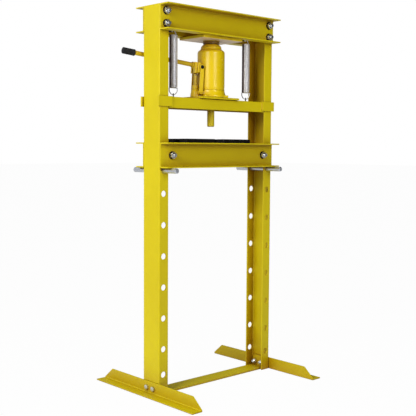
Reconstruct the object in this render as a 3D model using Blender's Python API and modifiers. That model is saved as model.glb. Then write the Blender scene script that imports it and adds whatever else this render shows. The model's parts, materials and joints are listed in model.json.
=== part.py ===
"""Hydraulic shop press: an H-frame of steel channels with a bottle jack on a sprung carriage.

Units are metres. +Z is up, X runs along the beams, and the operator stands at -Y.
The origin is on the floor, midway between the columns and in line with the jack.
"""

import math

import bmesh
import bpy
from mathutils import Matrix, Vector

# ---------------------------------------------------------------- driving dimensions
GAP = 0.0003  # left between pieces that touch
WALL = 0.005  # wall of every channel and angle
CHANNEL_WEB = 0.100  # one channel size is used for columns, beams, bed and carriage
PRESS_HEIGHT = 1.542

COLUMN_FACE_X = 0.317  # outer face of each column's web
COLUMN_FLANGE = 0.046
COLUMN_HALF_DEPTH = CHANNEL_WEB / 2
PIN_HOLE_X = 0.2935
PIN_HOLE_RADIUS = 0.0125
FIRST_HOLE_Z = 0.084
ROW_START_Z = 0.187
ROW_PITCH = 0.124
ROW_COUNT = 6
BED_ROW_Z = 0.900  # the row that carries the bed

BEAM_FLANGE = 0.050
BEAM_HALF_LENGTH = 0.316
BEAM_BOLT_X = 0.288
BEAM_BOLT_OFFSET_Z = 0.0245
M16 = {"shank": 0.008, "across_flats": 0.024, "head": 0.010, "nut": 0.013, "hole": 0.0088}
M12 = {"shank": 0.006, "across_flats": 0.018, "head": 0.0075, "nut": 0.010, "hole": 0.0066}
BOLT_END = 0.010  # thread standing proud of a nut
DRILL = 0.030  # length of a hole's cutter through one wall
HOLE_SLACK = 0.0006  # a running hole's radius, over its pin's

PRESS_PLATE = (0.220, 0.150, 0.012)
SEAT_OUTER = 0.034
SEAT_INNER = 0.026
SEAT_HEIGHT = 0.012

FOOT_LEG = 0.050
FOOT_LENGTH = 0.615
FOOT_CORNER_CUT = 0.050
FOOT_END_LAND = 0.008  # height left at the very end
FOOT_BOLT_Y = 0.020
FOOT_BOLT_Z = 0.025
STRUT_WIDTH = 0.070
STRUT_THICKNESS = 0.008
STRUT_TAB_HEIGHT = 0.053
STRUT_CORNER = 0.015

BED_UNDERSIDE = 0.908
BED_BOLT_X = 0.257
SPACER_RADIUS = 0.0115
BED_PIN_RADIUS = 0.010
BED_PIN_FRONT = -0.131
BED_PIN_LENGTH = 0.266
ARBOR_SIZE = (0.155, 0.120, 0.016)
ARBOR_INNER_LEFT = -0.030
ARBOR_INNER_RIGHT = 0.020
ARBOR_SLOT = (0.032, 0.038)  # depth and width of the square slot
ARBOR_VEE = 0.034

CARRIAGE_TOP = 1.188
CARRIAGE_FLANGE = 0.044
CARRIAGE_HALF_LENGTH = 0.268
STRAP_SIZE = (0.072, 0.006, 0.040)
STRAP_CENTRE_X = 0.291
STRAP_CENTRE_Z = 1.169
JACK_PLATE = (0.216, 0.120, 0.008)
PRESS_PIN_RADIUS = 0.015
PRESS_PIN_END = 1.076

SPRING_X = 0.205
SPRING_RADIUS = 0.015  # to the middle of the wire
SPRING_WIRE = 0.0025
SPRING_TOP = 1.430
SPRING_BOTTOM = 1.230
SPRING_TURNS = 20
SPRING_STEPS = 8  # points on each turn
HOOK_STEPS = 8
LOWER_HOOK = 0.0078  # radii of the spring's hooks, to the middle of the wire
UPPER_HOOK = 0.0090
HANGER_RADIUS = 0.004
HANGER_Z = 1.454
EYE_RING = 0.0085
EYE_WIRE = 0.0024
EYE_Z = 1.2015
EYE_STEM_BELOW = 0.012  # the eye bolt's stem below the carriage's web

BODY_RADIUS = 0.0565
BODY_WALL = 0.004
BODY_NECK = 0.0430
NECK_HEIGHT = 0.0085
SHOULDER_RADIUS = 0.012
BODY_BOTTOM = 1.2266
BODY_SHOULDER = 1.379
BODY_TOP = 1.4035
CAP_TOP = 1.415
CAP_RADIUS = 0.0420
CAP_LAND = 0.0335
RAM_RADIUS = 0.0225
CYLINDER_BORE = 0.028
CYLINDER_RADIUS = 0.036
RAM_BOTTOM = 1.236
PISTON_HEIGHT = 0.020
PLUG_ANGLE = math.radians(10)  # from the front towards +X
PLUG_Z = 1.352
PLUG_RADIUS = 0.004
PLUG_LENGTH = 0.008

BASE_FLARE = 0.0075
BASE_SLAB = (0.112, 0.106, 0.009)
BASE_SLAB_CORNER = 0.003
BOSS_TOP_RADIUS = 0.0153
BOSS_FOOT_RADIUS = 0.0215
BOSS_RISE = 0.004
BRIDGE_WIDTH = 0.030
LUG_REACH = 0.074  # outer end of the link's lug
LUG_LENGTH = 0.034
LUG_HEIGHT = 0.015
LUG_CLEARANCE = 0.0008

LEVER_ANGLE = math.radians(14.5)  # the handle swings in a plane this far behind -X
LEVER_SLOPE = math.radians(7.5)  # the handle's rise in that plane
PUMP_R = 0.0725  # distances from the jack's axis along the lever's plane
LINK_TOP_R = 0.060
LINK_FOOT_R = 0.066
PUMP_PIN_Z = 1.301
LINK_TOP_Z = 1.318
LINK_FOOT_Z = 1.216
LINK_SIDE = 0.0365  # middle of each link plate, to the side of the lever's plane
LINK_PLATE = 0.005
LINK_HALF_WIDTH = 0.0085
LINK_HEAD = 0.011  # radii of the plates' ends
LINK_FOOT = 0.009
LINK_PIN = 0.0042
LINK_PIN_PROUD = 0.002
PUMP_TOP = 1.246
PUMP_RADIUS = 0.0130
PUMP_FOOT_RADIUS = 0.0150
PLUNGER_RADIUS = 0.008
PLUNGER_END = 1.2355
TONGUE_RADIUS = 0.0105
TONGUE_WIDTH = 0.0095
TONGUE_EYE = 0.0054  # loose on the plunger's pin, because the lever's path is an arc
FORK_HALF = 0.0330  # half widths of the socket's fork, of the space inside it, and of its middle
FORK_SPACE_HALF = 0.0265
SOCKET_HALF = 0.015
FORK_END = 0.0065
FORK_REACH = 0.018
SOCKET_REACH = 0.029
SOCKET_TOP = 0.0178
SOCKET_BOTTOM = -0.0270
SOCKET_SLOT = (0.056, 0.042, 0.0115)
SLOT_CEILING = 1.3145
FORK_SPACE = (0.080, 0.060)  # length and height cut out between the fork's sides
FORK_RELIEF = (0.020, 0.060)  # the same for the clearance round the reservoir
FORK_RELIEF_END = 0.006  # how far the relief goes beyond the link's top pin
HANDLE_BORE = (0.043, 0.030)  # length of its cutter, and where its middle is
LEVER_PIN = 0.0035
THROUGH_LEVER = 0.090  # length of a cross hole's cutter
HANDLE_RADIUS = 0.009
HANDLE_WALL = 0.0022
HANDLE_LENGTH = 0.327
HANDLE_START = 0.0095  # the tube's inner end, from the link's top pin
HANDLE_LIFT = 0.0072  # the tube's axis passes this far above that pin
GRIP_RADIUS = 0.0132
GRIP_LENGTH = 0.053
GRIP_END = 0.004  # closed end of the grip, beyond the tube
VALVE_ANGLE = math.radians(66)  # from -X towards the back
VALVE_Z = 1.2125
VALVE_START = 0.046
VALVE_CLEARANCE = 0.001  # the seat's bore goes this far beyond the valve's end
VALVE_RADIUS = 0.005
VALVE_LENGTH = 0.0275
VALVE_SLOT = (0.0022, 0.016, 0.006)

PRESS_NAME = "hydraulic_shop_press"
CUTTERS_NAME = "cutters"
SIDES = ((-1, "left"), (1, "right"))


# ---------------------------------------------------------------- scene and materials
def clear_scene():
    for old in list(bpy.data.objects):
        bpy.data.objects.remove(old, do_unlink=True)


def new_collection(name):
    collection = bpy.data.collections.new(name)
    bpy.context.scene.collection.children.link(collection)
    return collection


def new_material(name, colour, roughness, metallic):
    material = bpy.data.materials.new(name)
    material.use_nodes = True
    shader = material.node_tree.nodes["Principled BSDF"]
    shader.inputs["Base Color"].default_value = (*colour, 1.0)
    shader.inputs["Roughness"].default_value = roughness
    shader.inputs["Metallic"].default_value = metallic
    material.diffuse_color = (*colour, 1.0)
    return material


# ---------------------------------------------------------------- shape helpers
def axes(x_axis, y_axis, origin=(0, 0, 0)):
    """A placement whose local X and Y point along the given world directions."""
    x = Vector(x_axis).normalized()
    y = Vector(y_axis).normalized()
    z = x.cross(y)
    matrix = Matrix((x, y, z)).transposed().to_4x4()
    matrix.translation = Vector(origin)
    return matrix


def along(direction, origin=(0, 0, 0)):
    """A placement whose local Z points along the given world direction."""
    matrix = Vector(direction).to_track_quat("Z", "Y").to_matrix().to_4x4()
    matrix.translation = Vector(origin)
    return matrix


def mesh_from_bmesh(bm, name):
    mesh = bpy.data.meshes.new(name)
    bmesh.ops.recalc_face_normals(bm, faces=bm.faces)
    bm.to_mesh(mesh)
    bm.free()
    return mesh


def mesh_from_curve(curve, name):
    """The curve's mesh, with its loose caps welded on."""
    guide = bpy.data.objects.new(name + "_curve", curve)
    bpy.context.scene.collection.objects.link(guide)
    depsgraph = bpy.context.evaluated_depsgraph_get()
    mesh = bpy.data.meshes.new_from_object(guide.evaluated_get(depsgraph))
    bpy.data.objects.remove(guide, do_unlink=True)
    bpy.data.curves.remove(curve)
    bm = bmesh.new()
    bm.from_mesh(mesh)
    bpy.data.meshes.remove(mesh)
    bmesh.ops.remove_doubles(bm, verts=bm.verts, dist=0.00002)
    return mesh_from_bmesh(bm, name)


def outline_mesh(name, points, thickness):
    """A flat outline in local XY, thickened equally up and down local Z."""
    curve = bpy.data.curves.new(name, "CURVE")
    curve.dimensions = "2D"
    curve.fill_mode = "BOTH"
    curve.extrude = thickness / 2
    spline = curve.splines.new("POLY")
    spline.points.add(len(points) - 1)
    for point, (x, y) in zip(spline.points, points):
        point.co = (x, y, 0, 1)
    spline.use_cyclic_u = True
    return mesh_from_curve(curve, name)


def wire_mesh(name, points, radius, resolution=0, closed=False):
    curve = bpy.data.curves.new(name, "CURVE")
    curve.dimensions = "3D"
    curve.fill_mode = "FULL"
    curve.bevel_depth = radius
    curve.bevel_resolution = resolution
    curve.use_fill_caps = not closed
    spline = curve.splines.new("POLY")
    spline.points.add(len(points) - 1)
    for point, position in zip(spline.points, points):
        point.co = (*position, 1)
    spline.use_cyclic_u = closed
    return mesh_from_curve(curve, name)


def box_mesh(name, size):
    bm = bmesh.new()
    bmesh.ops.create_cube(bm, size=1.0, matrix=Matrix.Diagonal((*size, 1.0)))
    return mesh_from_bmesh(bm, name)


def profile_mesh(name, profile):
    """Edges through (radius, height) points. A profile that is off the axis closes, for a ring."""
    bm = bmesh.new()
    points = [bm.verts.new((radius, 0, height)) for radius, height in profile]
    for first, second in zip(points, points[1:]):
        bm.edges.new((first, second))
    if profile[0][0] > 0:
        bm.edges.new((points[-1], points[0]))
    mesh = bpy.data.meshes.new(name)
    bm.to_mesh(mesh)
    bm.free()
    return mesh


def rods_mesh(name, rods, sides=16):
    """Round bars in one mesh. Each rod is (placement, radius, length), centred on its placement."""
    bm = bmesh.new()
    for matrix, radius, length in rods:
        bmesh.ops.create_cone(
            bm,
            cap_ends=True,
            segments=sides,
            radius1=radius,
            radius2=radius,
            depth=length,
            matrix=matrix,
        )
    return mesh_from_bmesh(bm, name)


def hexagon(across_flats):
    corner = across_flats / math.sqrt(3)
    turns = [math.radians(30 + 60 * k) for k in range(6)]
    return [(corner * math.cos(turn), corner * math.sin(turn)) for turn in turns]


def arc(centre, radius, start, end, steps):
    """Points along an arc, angles in degrees."""
    turns = [math.radians(start + (end - start) * k / steps) for k in range(steps + 1)]
    return [(centre[0] + radius * math.cos(t), centre[1] + radius * math.sin(t)) for t in turns]


def channel_outline(web, flange):
    half = web / 2
    return [
        (0, -half),
        (flange, -half),
        (flange, -half + WALL),
        (WALL, -half + WALL),
        (WALL, half - WALL),
        (flange, half - WALL),
        (flange, half),
        (0, half),
    ]


# ---------------------------------------------------------------- object helpers
class Workshop:
    """Keeps the collections and materials, and hangs each piece on the carrier of its group."""

    def __init__(self):
        self.press = new_collection(PRESS_NAME)
        self.cutters = new_collection(CUTTERS_NAME)
        self.paint = new_material("press_paint", (0.74, 0.60, 0.010), 0.42, 0.0)
        self.jack_paint = new_material("jack_paint", (0.82, 0.58, 0.006), 0.22, 0.0)
        self.zinc = new_material("zinc", (0.62, 0.63, 0.65), 0.32, 1.0)
        self.black = new_material("blackened_steel", (0.014, 0.014, 0.016), 0.5, 0.6)
        self.rubber = new_material("grip_rubber", (0.012, 0.012, 0.013), 0.7, 0.0)
        self.ground_steel = new_material("ground_steel", (0.70, 0.70, 0.72), 0.15, 1.0)
        self.holder = None

    def carrier(self, name, place=None, parent=None):
        """An empty on a joint's axis. The pieces made after it hang on it and move with it."""
        empty = bpy.data.objects.new(name, None)
        empty.empty_display_size = 0.02
        self.press.objects.link(empty)
        empty.parent = parent
        empty.matrix_world = place or Matrix.Identity(4)
        self.holder = empty
        return empty

    def piece(self, name, mesh, look, place=None):
        part = bpy.data.objects.new(name, mesh)
        self.press.objects.link(part)
        part.parent = self.holder
        own = look.copy()
        own.name = name + "_" + look.name
        mesh.materials.clear()
        mesh.materials.append(own)
        part.matrix_world = place or Matrix.Identity(4)
        return part

    def cutter(self, name, mesh, place=None):
        tool = bpy.data.objects.new(name, mesh)
        self.cutters.objects.link(tool)
        tool.matrix_world = place or Matrix.Identity(4)
        tool.hide_render = True
        tool.display_type = "WIRE"
        return tool

    def boolean(self, part, tool, operation="DIFFERENCE"):
        modifier = part.modifiers.new(operation.lower() + "_" + tool.name, "BOOLEAN")
        modifier.operation = operation
        modifier.solver = "EXACT"
        modifier.object = tool

    def drill(self, part, rods, sides=16):
        """Cuts round holes. Each rod is (placement, radius, length) in world axes."""
        tool = self.cutter(part.name + "_holes", rods_mesh(part.name + "_holes", rods, sides))
        self.boolean(part, tool)

    def turned(self, name, profile, look, place=None, steps=32):
        """The (radius, height) profile, turned about local Z."""
        part = self.piece(name, profile_mesh(name, profile), look, place)
        screw(part, steps)
        return part


def screw(part, steps):
    modifier = part.modifiers.new("turn", "SCREW")
    modifier.axis = "Z"
    modifier.angle = math.tau
    modifier.steps = steps
    modifier.render_steps = steps
    modifier.use_merge_vertices = True
    modifier.merge_threshold = 0.00001
    modifier.use_smooth_shade = True


def bevel(part, width, segments=2, angle=50):
    modifier = part.modifiers.new("edge", "BEVEL")
    modifier.width = width
    modifier.segments = segments
    modifier.limit_method = "ANGLE"
    modifier.angle_limit = math.radians(angle)


def smooth_round(part, angle=40):
    part.data.shade_smooth()
    part.data.set_sharp_from_angle(angle=math.radians(angle))


# ---------------------------------------------------------------- lever's plane
def lever_plane(distance, height, side=0.0):
    """World point at a distance from the jack's axis, in or beside the handle's plane."""
    out = Vector((-math.cos(LEVER_ANGLE), math.sin(LEVER_ANGLE), 0))
    across = Vector((math.sin(LEVER_ANGLE), math.cos(LEVER_ANGLE), 0))
    return out * distance + across * side + Vector((0, 0, height))


LEVER_OUT = lever_plane(1, 0)
LEVER_ACROSS = lever_plane(0, 0, 1)
HANDLE_DIRECTION = LEVER_OUT * math.cos(LEVER_SLOPE) + Vector((0, 0, math.sin(LEVER_SLOPE)))
HANDLE_UP = LEVER_OUT * -math.sin(LEVER_SLOPE) + Vector((0, 0, math.cos(LEVER_SLOPE)))


def from_link_pin(forward, up):
    """World point given along and above the handle's direction, from the link's top pin."""
    return lever_plane(LINK_TOP_R, LINK_TOP_Z) + HANDLE_DIRECTION * forward + HANDLE_UP * up


# ---------------------------------------------------------------- bolts
def bolt(shop, name, size, head_point, direction, grip, look, nut_name=None):
    """A hexagon bolt from its head's bearing face, with its nut beyond the grip length.

    With no nut name the nut is part of the bolt, as a tightened pair."""
    direction = Vector(direction)
    head_point = Vector(head_point)
    end = grip + size["nut"] + BOLT_END
    head = outline_mesh(name, hexagon(size["across_flats"]), size["head"])
    part = shop.piece(name, head, look, along(direction, head_point - direction * size["head"] / 2))
    shank_centre = head_point + direction * (end - size["head"] / 2) / 2
    rod = [(along(direction, shank_centre), size["shank"], end + size["head"] / 2)]
    shank = shop.cutter(name + "_shank", rods_mesh(name + "_shank", rod))
    shop.boolean(part, shank, "UNION")
    nut_mesh = outline_mesh(name + "_nut", hexagon(size["across_flats"]), size["nut"])
    nut_place = along(direction, head_point + direction * (grip + GAP + size["nut"] / 2))
    if nut_name is None:
        shop.boolean(part, shop.cutter(name + "_nut", nut_mesh, nut_place), "UNION")
        return
    nut = shop.piece(nut_name, nut_mesh, look, nut_place)
    bore = (nut_place, size["shank"] + GAP, size["nut"] * 2)
    shop.drill(nut, [bore])


def bolt_hole(size, point, direction, length):
    return (along(direction, point), size["hole"], length)


# ---------------------------------------------------------------- frame
def hole_rows():
    rows = [FIRST_HOLE_Z]
    rows += [ROW_START_Z + ROW_PITCH * k for k in range(ROW_COUNT)]
    rows.append(BED_ROW_Z)
    return rows


def beam_bolt_heights():
    middle = PRESS_HEIGHT - CHANNEL_WEB / 2
    return {"upper": middle + BEAM_BOLT_OFFSET_Z, "lower": middle - BEAM_BOLT_OFFSET_Z}


def build_column(shop, name, side):
    outline = channel_outline(CHANNEL_WEB, COLUMN_FLANGE)
    inward = (-side, 0, 0)
    place = axes(inward, (0, -side, 0), (side * COLUMN_FACE_X, 0, PRESS_HEIGHT / 2))
    part = shop.piece(name, outline_mesh(name, outline, PRESS_HEIGHT), shop.paint, place)
    across = CHANNEL_WEB * 1.4
    holes = [
        (along((0, 1, 0), (side * PIN_HOLE_X, 0, z)), PIN_HOLE_RADIUS, across)
        for z in hole_rows()
    ]
    for z in beam_bolt_heights().values():
        holes.append(bolt_hole(M16, (side * BEAM_BOLT_X, 0, z), (0, 1, 0), across))
    for y in (-FOOT_BOLT_Y, FOOT_BOLT_Y):
        centre = (side * COLUMN_FACE_X, y, FOOT_BOLT_Z)
        holes.append(bolt_hole(M12, centre, (1, 0, 0), DRILL))
    shop.drill(part, holes)


def outward_channel(shop, name, facing, underside, bolt_points):
    """A beam along X whose flanges point away from the columns, front (-1) or rear (+1)."""
    outline = channel_outline(CHANNEL_WEB, BEAM_FLANGE)
    web_face = facing * (COLUMN_HALF_DEPTH + GAP)
    place = axes((0, facing, 0), (0, 0, facing), (0, web_face, underside + CHANNEL_WEB / 2))
    mesh = outline_mesh(name, outline, 2 * BEAM_HALF_LENGTH)
    part = shop.piece(name, mesh, shop.paint, place)
    holes = [bolt_hole(M16, (x, web_face, z), (0, 1, 0), DRILL) for x, z in bolt_points]
    shop.drill(part, holes)


def web_bolt(shop, name, nut_name, x, z):
    """A bolt through a front and a rear web, head at the back and nut at the front."""
    face = COLUMN_HALF_DEPTH + GAP + WALL + GAP
    bolt(shop, name, M16, (x, face, z), (0, -1, 0), 2 * face, shop.zinc, nut_name)


def build_head(shop):
    underside = PRESS_HEIGHT - CHANNEL_WEB
    heights = beam_bolt_heights()
    points = [(side * BEAM_BOLT_X, z) for side, _ in SIDES for z in heights.values()]
    outward_channel(shop, "top_beam_front", -1, underside, points)
    outward_channel(shop, "top_beam_rear", 1, underside, points)
    for side, side_name in SIDES:
        for level, z in heights.items():
            tag = side_name + "_" + level
            web_bolt(shop, "top_bolt_" + tag, "top_nut_" + tag, side * BEAM_BOLT_X, z)

    plate_z = underside - GAP - PRESS_PLATE[2] / 2
    mesh = box_mesh("top_press_plate", PRESS_PLATE)
    place = Matrix.Translation((0, 0, plate_z))
    plate = shop.piece("top_press_plate", mesh, shop.paint, place)
    bevel(plate, 0.001, 1)

    top = underside - 2 * GAP - PRESS_PLATE[2]
    profile = [
        (SEAT_INNER, top),
        (SEAT_OUTER, top),
        (SEAT_OUTER, top - SEAT_HEIGHT + 0.001),
        (SEAT_OUTER - 0.001, top - SEAT_HEIGHT),
        (SEAT_INNER, top - SEAT_HEIGHT),
    ]
    shop.turned("ram_seat_ring", profile, shop.paint, steps=24)


def build_foot(shop, name, side):
    leg = FOOT_LEG
    outline = [(0, 0), (leg, 0), (leg, WALL), (WALL, WALL), (WALL, leg), (0, leg)]
    place = axes((side, 0, 0), (0, 0, 1), (side * (COLUMN_FACE_X + GAP), 0, 0))
    part = shop.piece(name, outline_mesh(name, outline, FOOT_LENGTH), shop.paint, place)

    half = FOOT_LENGTH / 2
    slope = (leg - FOOT_END_LAND) / FOOT_CORNER_CUT
    over = 0.002
    beyond = 0.020
    corner = [
        (half - FOOT_CORNER_CUT - over, leg + slope * over),
        (half + over, FOOT_END_LAND - slope * over),
        (half + beyond, FOOT_END_LAND - slope * over),
        (half + beyond, leg + beyond),
        (half - FOOT_CORNER_CUT - over, leg + beyond),
    ]
    for end in (-1, 1):
        tool_name = name + ("_front_corner" if end < 0 else "_rear_corner")
        tool_place = axes((0, end, 0), (0, 0, 1), (side * COLUMN_FACE_X, 0, 0))
        tool = shop.cutter(tool_name, outline_mesh(tool_name, corner, 0.040), tool_place)
        shop.boolean(part, tool)
    holes = [
        bolt_hole(M12, (side * COLUMN_FACE_X, y, FOOT_BOLT_Z), (1, 0, 0), DRILL)
        for y in (-FOOT_BOLT_Y, FOOT_BOLT_Y)
    ]
    shop.drill(part, holes)


def round_tab_corners(mesh):
    """Rounds the four outer top corners of the strut's upturned ends. Local Y is up."""
    bm = bmesh.new()
    bm.from_mesh(mesh)
    near = 0.0001
    corners = []
    for edge in bm.edges:
        first, second = (vert.co for vert in edge.verts)
        at_top = min(first.y, second.y) > STRUT_TAB_HEIGHT - near
        along_bar = abs(first.z - second.z) < near
        at_side = abs(first.z) > STRUT_WIDTH / 2 - near
        if at_top and along_bar and at_side:
            corners.append(edge)
    bmesh.ops.bevel(bm, geom=corners, offset=STRUT_CORNER, segments=4, affect="EDGES", profile=0.5)
    bm.to_mesh(mesh)
    bm.free()


def build_strut(shop):
    reach = COLUMN_FACE_X - WALL - GAP
    inner = reach - STRUT_THICKNESS
    height = STRUT_TAB_HEIGHT
    outline = [
        (-reach, 0),
        (reach, 0),
        (reach, height),
        (inner, height),
        (inner, STRUT_THICKNESS),
        (-inner, STRUT_THICKNESS),
        (-inner, height),
        (-reach, height),
    ]
    mesh = outline_mesh("floor_strut", outline, STRUT_WIDTH)
    round_tab_corners(mesh)
    part = shop.piece("floor_strut", mesh, shop.paint, axes((1, 0, 0), (0, 0, 1)))
    holes = [
        bolt_hole(M12, (side * reach, y, FOOT_BOLT_Z), (1, 0, 0), DRILL)
        for side, _ in SIDES
        for y in (-FOOT_BOLT_Y, FOOT_BOLT_Y)
    ]
    shop.drill(part, holes)


def build_foot_bolts(shop):
    grip = 4 * GAP + 2 * WALL + STRUT_THICKNESS
    for side, side_name in SIDES:
        face = side * (COLUMN_FACE_X + 2 * GAP + WALL)
        for y, end_name in ((-FOOT_BOLT_Y, "front"), (FOOT_BOLT_Y, "rear")):
            name = "foot_bolt_" + side_name + "_" + end_name
            bolt(shop, name, M12, (face, y, FOOT_BOLT_Z), (-side, 0, 0), grip, shop.zinc)


# ---------------------------------------------------------------- bed
def build_bed(shop):
    middle = BED_UNDERSIDE + CHANNEL_WEB / 2
    points = [(side * BED_BOLT_X, middle) for side, _ in SIDES]
    outward_channel(shop, "bed_channel_front", -1, BED_UNDERSIDE, points)
    outward_channel(shop, "bed_channel_rear", 1, BED_UNDERSIDE, points)
    half = COLUMN_HALF_DEPTH
    bore = M16["shank"] + GAP
    profile = [(bore, half), (SPACER_RADIUS, half), (SPACER_RADIUS, -half), (bore, -half)]
    for side, side_name in SIDES:
        x = side * BED_BOLT_X
        web_bolt(shop, "bed_bolt_" + side_name, "bed_nut_" + side_name, x, middle)
        place = along((0, 1, 0), (x, 0, middle))
        shop.turned("bed_spacer_" + side_name, profile, shop.zinc, place, 20)


def build_bed_pin(shop, name, place):
    chamfer = 0.002
    radius = BED_PIN_RADIUS
    length = BED_PIN_LENGTH
    profile = [
        (0, length),
        (radius - chamfer, length),
        (radius, length - chamfer),
        (radius, chamfer),
        (radius - chamfer, 0),
        (0, 0),
    ]
    shop.turned(name, profile, shop.zinc, place, 24)


def build_arbor_plate(shop, name, side, inner):
    """A loose bolster plate: a square slot faces the jack's axis, a vee faces outward."""
    length, width, thickness = ARBOR_SIZE
    depth, slot = ARBOR_SLOT
    half = width / 2
    outline = [
        (0, slot / 2),
        (0, half),
        (length, half),
        (length, ARBOR_VEE / 2),
        (length - ARBOR_VEE / 2, 0),
        (length, -ARBOR_VEE / 2),
        (length, -half),
        (0, -half),
        (0, -slot / 2),
        (depth, -slot / 2),
        (depth, slot / 2),
    ]
    z = BED_UNDERSIDE + CHANNEL_WEB + GAP + thickness / 2
    place = axes((side, 0, 0), (0, side, 0), (inner, 0, z))
    part = shop.piece(name, outline_mesh(name, outline, thickness), shop.black, place)
    bevel(part, 0.0012, 1)


# ---------------------------------------------------------------- carriage
def build_carriage(shop):
    outline = channel_outline(CHANNEL_WEB, CARRIAGE_FLANGE)
    place = axes((0, 0, -1), (0, 1, 0), (0, 0, CARRIAGE_TOP))
    mesh = outline_mesh("carriage_channel", outline, 2 * CARRIAGE_HALF_LENGTH)
    part = shop.piece("carriage_channel", mesh, shop.paint, place)
    eye_holes = [
        (Matrix.Translation((side * SPRING_X, 0, CARRIAGE_TOP)), EYE_WIRE + 2 * GAP, DRILL)
        for side, _ in SIDES
    ]
    shop.drill(part, eye_holes, 12)

    strap_y = COLUMN_HALF_DEPTH + GAP + STRAP_SIZE[1] / 2
    for side, side_name in SIDES:
        for facing, facing_name in ((-1, "front"), (1, "rear")):
            name = "guide_strap_" + side_name + "_" + facing_name
            centre = (side * STRAP_CENTRE_X, facing * strap_y, STRAP_CENTRE_Z)
            place = Matrix.Translation(centre)
            strap = shop.piece(name, box_mesh(name, STRAP_SIZE), shop.paint, place)
            bevel(strap, 0.0010, 1)

    plate_place = Matrix.Translation((0, 0, CARRIAGE_TOP + GAP + JACK_PLATE[2] / 2))
    plate = shop.piece("jack_plate", box_mesh("jack_plate", JACK_PLATE), shop.paint, plate_place)
    bevel(plate, 0.0010, 1)

    top = CARRIAGE_TOP - WALL - GAP
    radius = PRESS_PIN_RADIUS
    chamfer = 0.0025
    profile = [
        (0, top),
        (radius, top),
        (radius, PRESS_PIN_END + chamfer),
        (radius - chamfer, PRESS_PIN_END),
        (0, PRESS_PIN_END),
    ]
    shop.turned("press_pin", profile, shop.paint, steps=24)


# ---------------------------------------------------------------- springs
def spring_path(x):
    """Lower hook, coil and upper hook, as one run of wire."""
    height = SPRING_TOP - SPRING_BOTTOM - 2 * SPRING_WIRE
    count = SPRING_TURNS * SPRING_STEPS
    coil = []
    for k in range(count + 1):
        turn = math.tau * k / SPRING_STEPS
        z = SPRING_BOTTOM + SPRING_WIRE + height * k / count
        coil.append((x + SPRING_RADIUS * math.cos(turn), SPRING_RADIUS * math.sin(turn), z))

    hook_seat = EYE_Z + EYE_RING - EYE_WIRE - SPRING_WIRE - 2 * GAP
    lower = arc((x, hook_seat + LOWER_HOOK), LOWER_HOOK, -215, 35, HOOK_STEPS)
    upper = arc((x, HANGER_Z), UPPER_HOOK, -40, 200, HOOK_STEPS)
    lead_in = (x + SPRING_RADIUS * 0.8, 0, SPRING_BOTTOM - 0.004)
    lead_out = (x + SPRING_RADIUS * 0.5, 0, SPRING_TOP + 0.006)
    path = [(px, 0, pz) for px, pz in lower]
    path += [lead_in, *coil, lead_out]
    path += [(px, 0, pz) for px, pz in upper]
    return path


def build_spring(shop, side, side_name):
    """The spring and the rod between the column flanges that its upper hook hangs on."""
    x = side * SPRING_X
    name = "spring_" + side_name
    shop.piece(name, wire_mesh(name, spring_path(x), SPRING_WIRE), shop.zinc)

    hanger_name = "spring_hanger_" + side_name
    rod = [(along((0, 1, 0)), HANGER_RADIUS, 2 * COLUMN_HALF_DEPTH)]
    place = Matrix.Translation((x, 0, HANGER_Z))
    hanger = shop.piece(hanger_name, rods_mesh(hanger_name, rod), shop.black, place)
    smooth_round(hanger)


def build_spring_eye(shop, side, side_name):
    """The eye bolt through the carriage that holds a spring's lower hook."""
    name = "spring_eye_" + side_name
    ring = [(0, y, z) for y, z in arc((0, 0), EYE_RING, 0, 345, 15)]
    place = Matrix.Translation((side * SPRING_X, 0, EYE_Z))
    eye = shop.piece(name, wire_mesh(name, ring, EYE_WIRE, 1, True), shop.black, place)
    top = EYE_Z - EYE_RING
    bottom = CARRIAGE_TOP - WALL - EYE_STEM_BELOW
    stem = [(Matrix.Identity(4), EYE_WIRE, top - bottom)]
    stem_place = Matrix.Translation((side * SPRING_X, 0, (top + bottom) / 2))
    stem_tool = shop.cutter(name + "_stem", rods_mesh(name + "_stem", stem, 12), stem_place)
    shop.boolean(eye, stem_tool, "UNION")


# ---------------------------------------------------------------- jack
def jack_axes(distance, height):
    """A placement in the lever's plane, with its local X towards the jack's axis."""
    return axes(-LEVER_OUT, -LEVER_ACROSS, lever_plane(distance, height))


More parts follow.
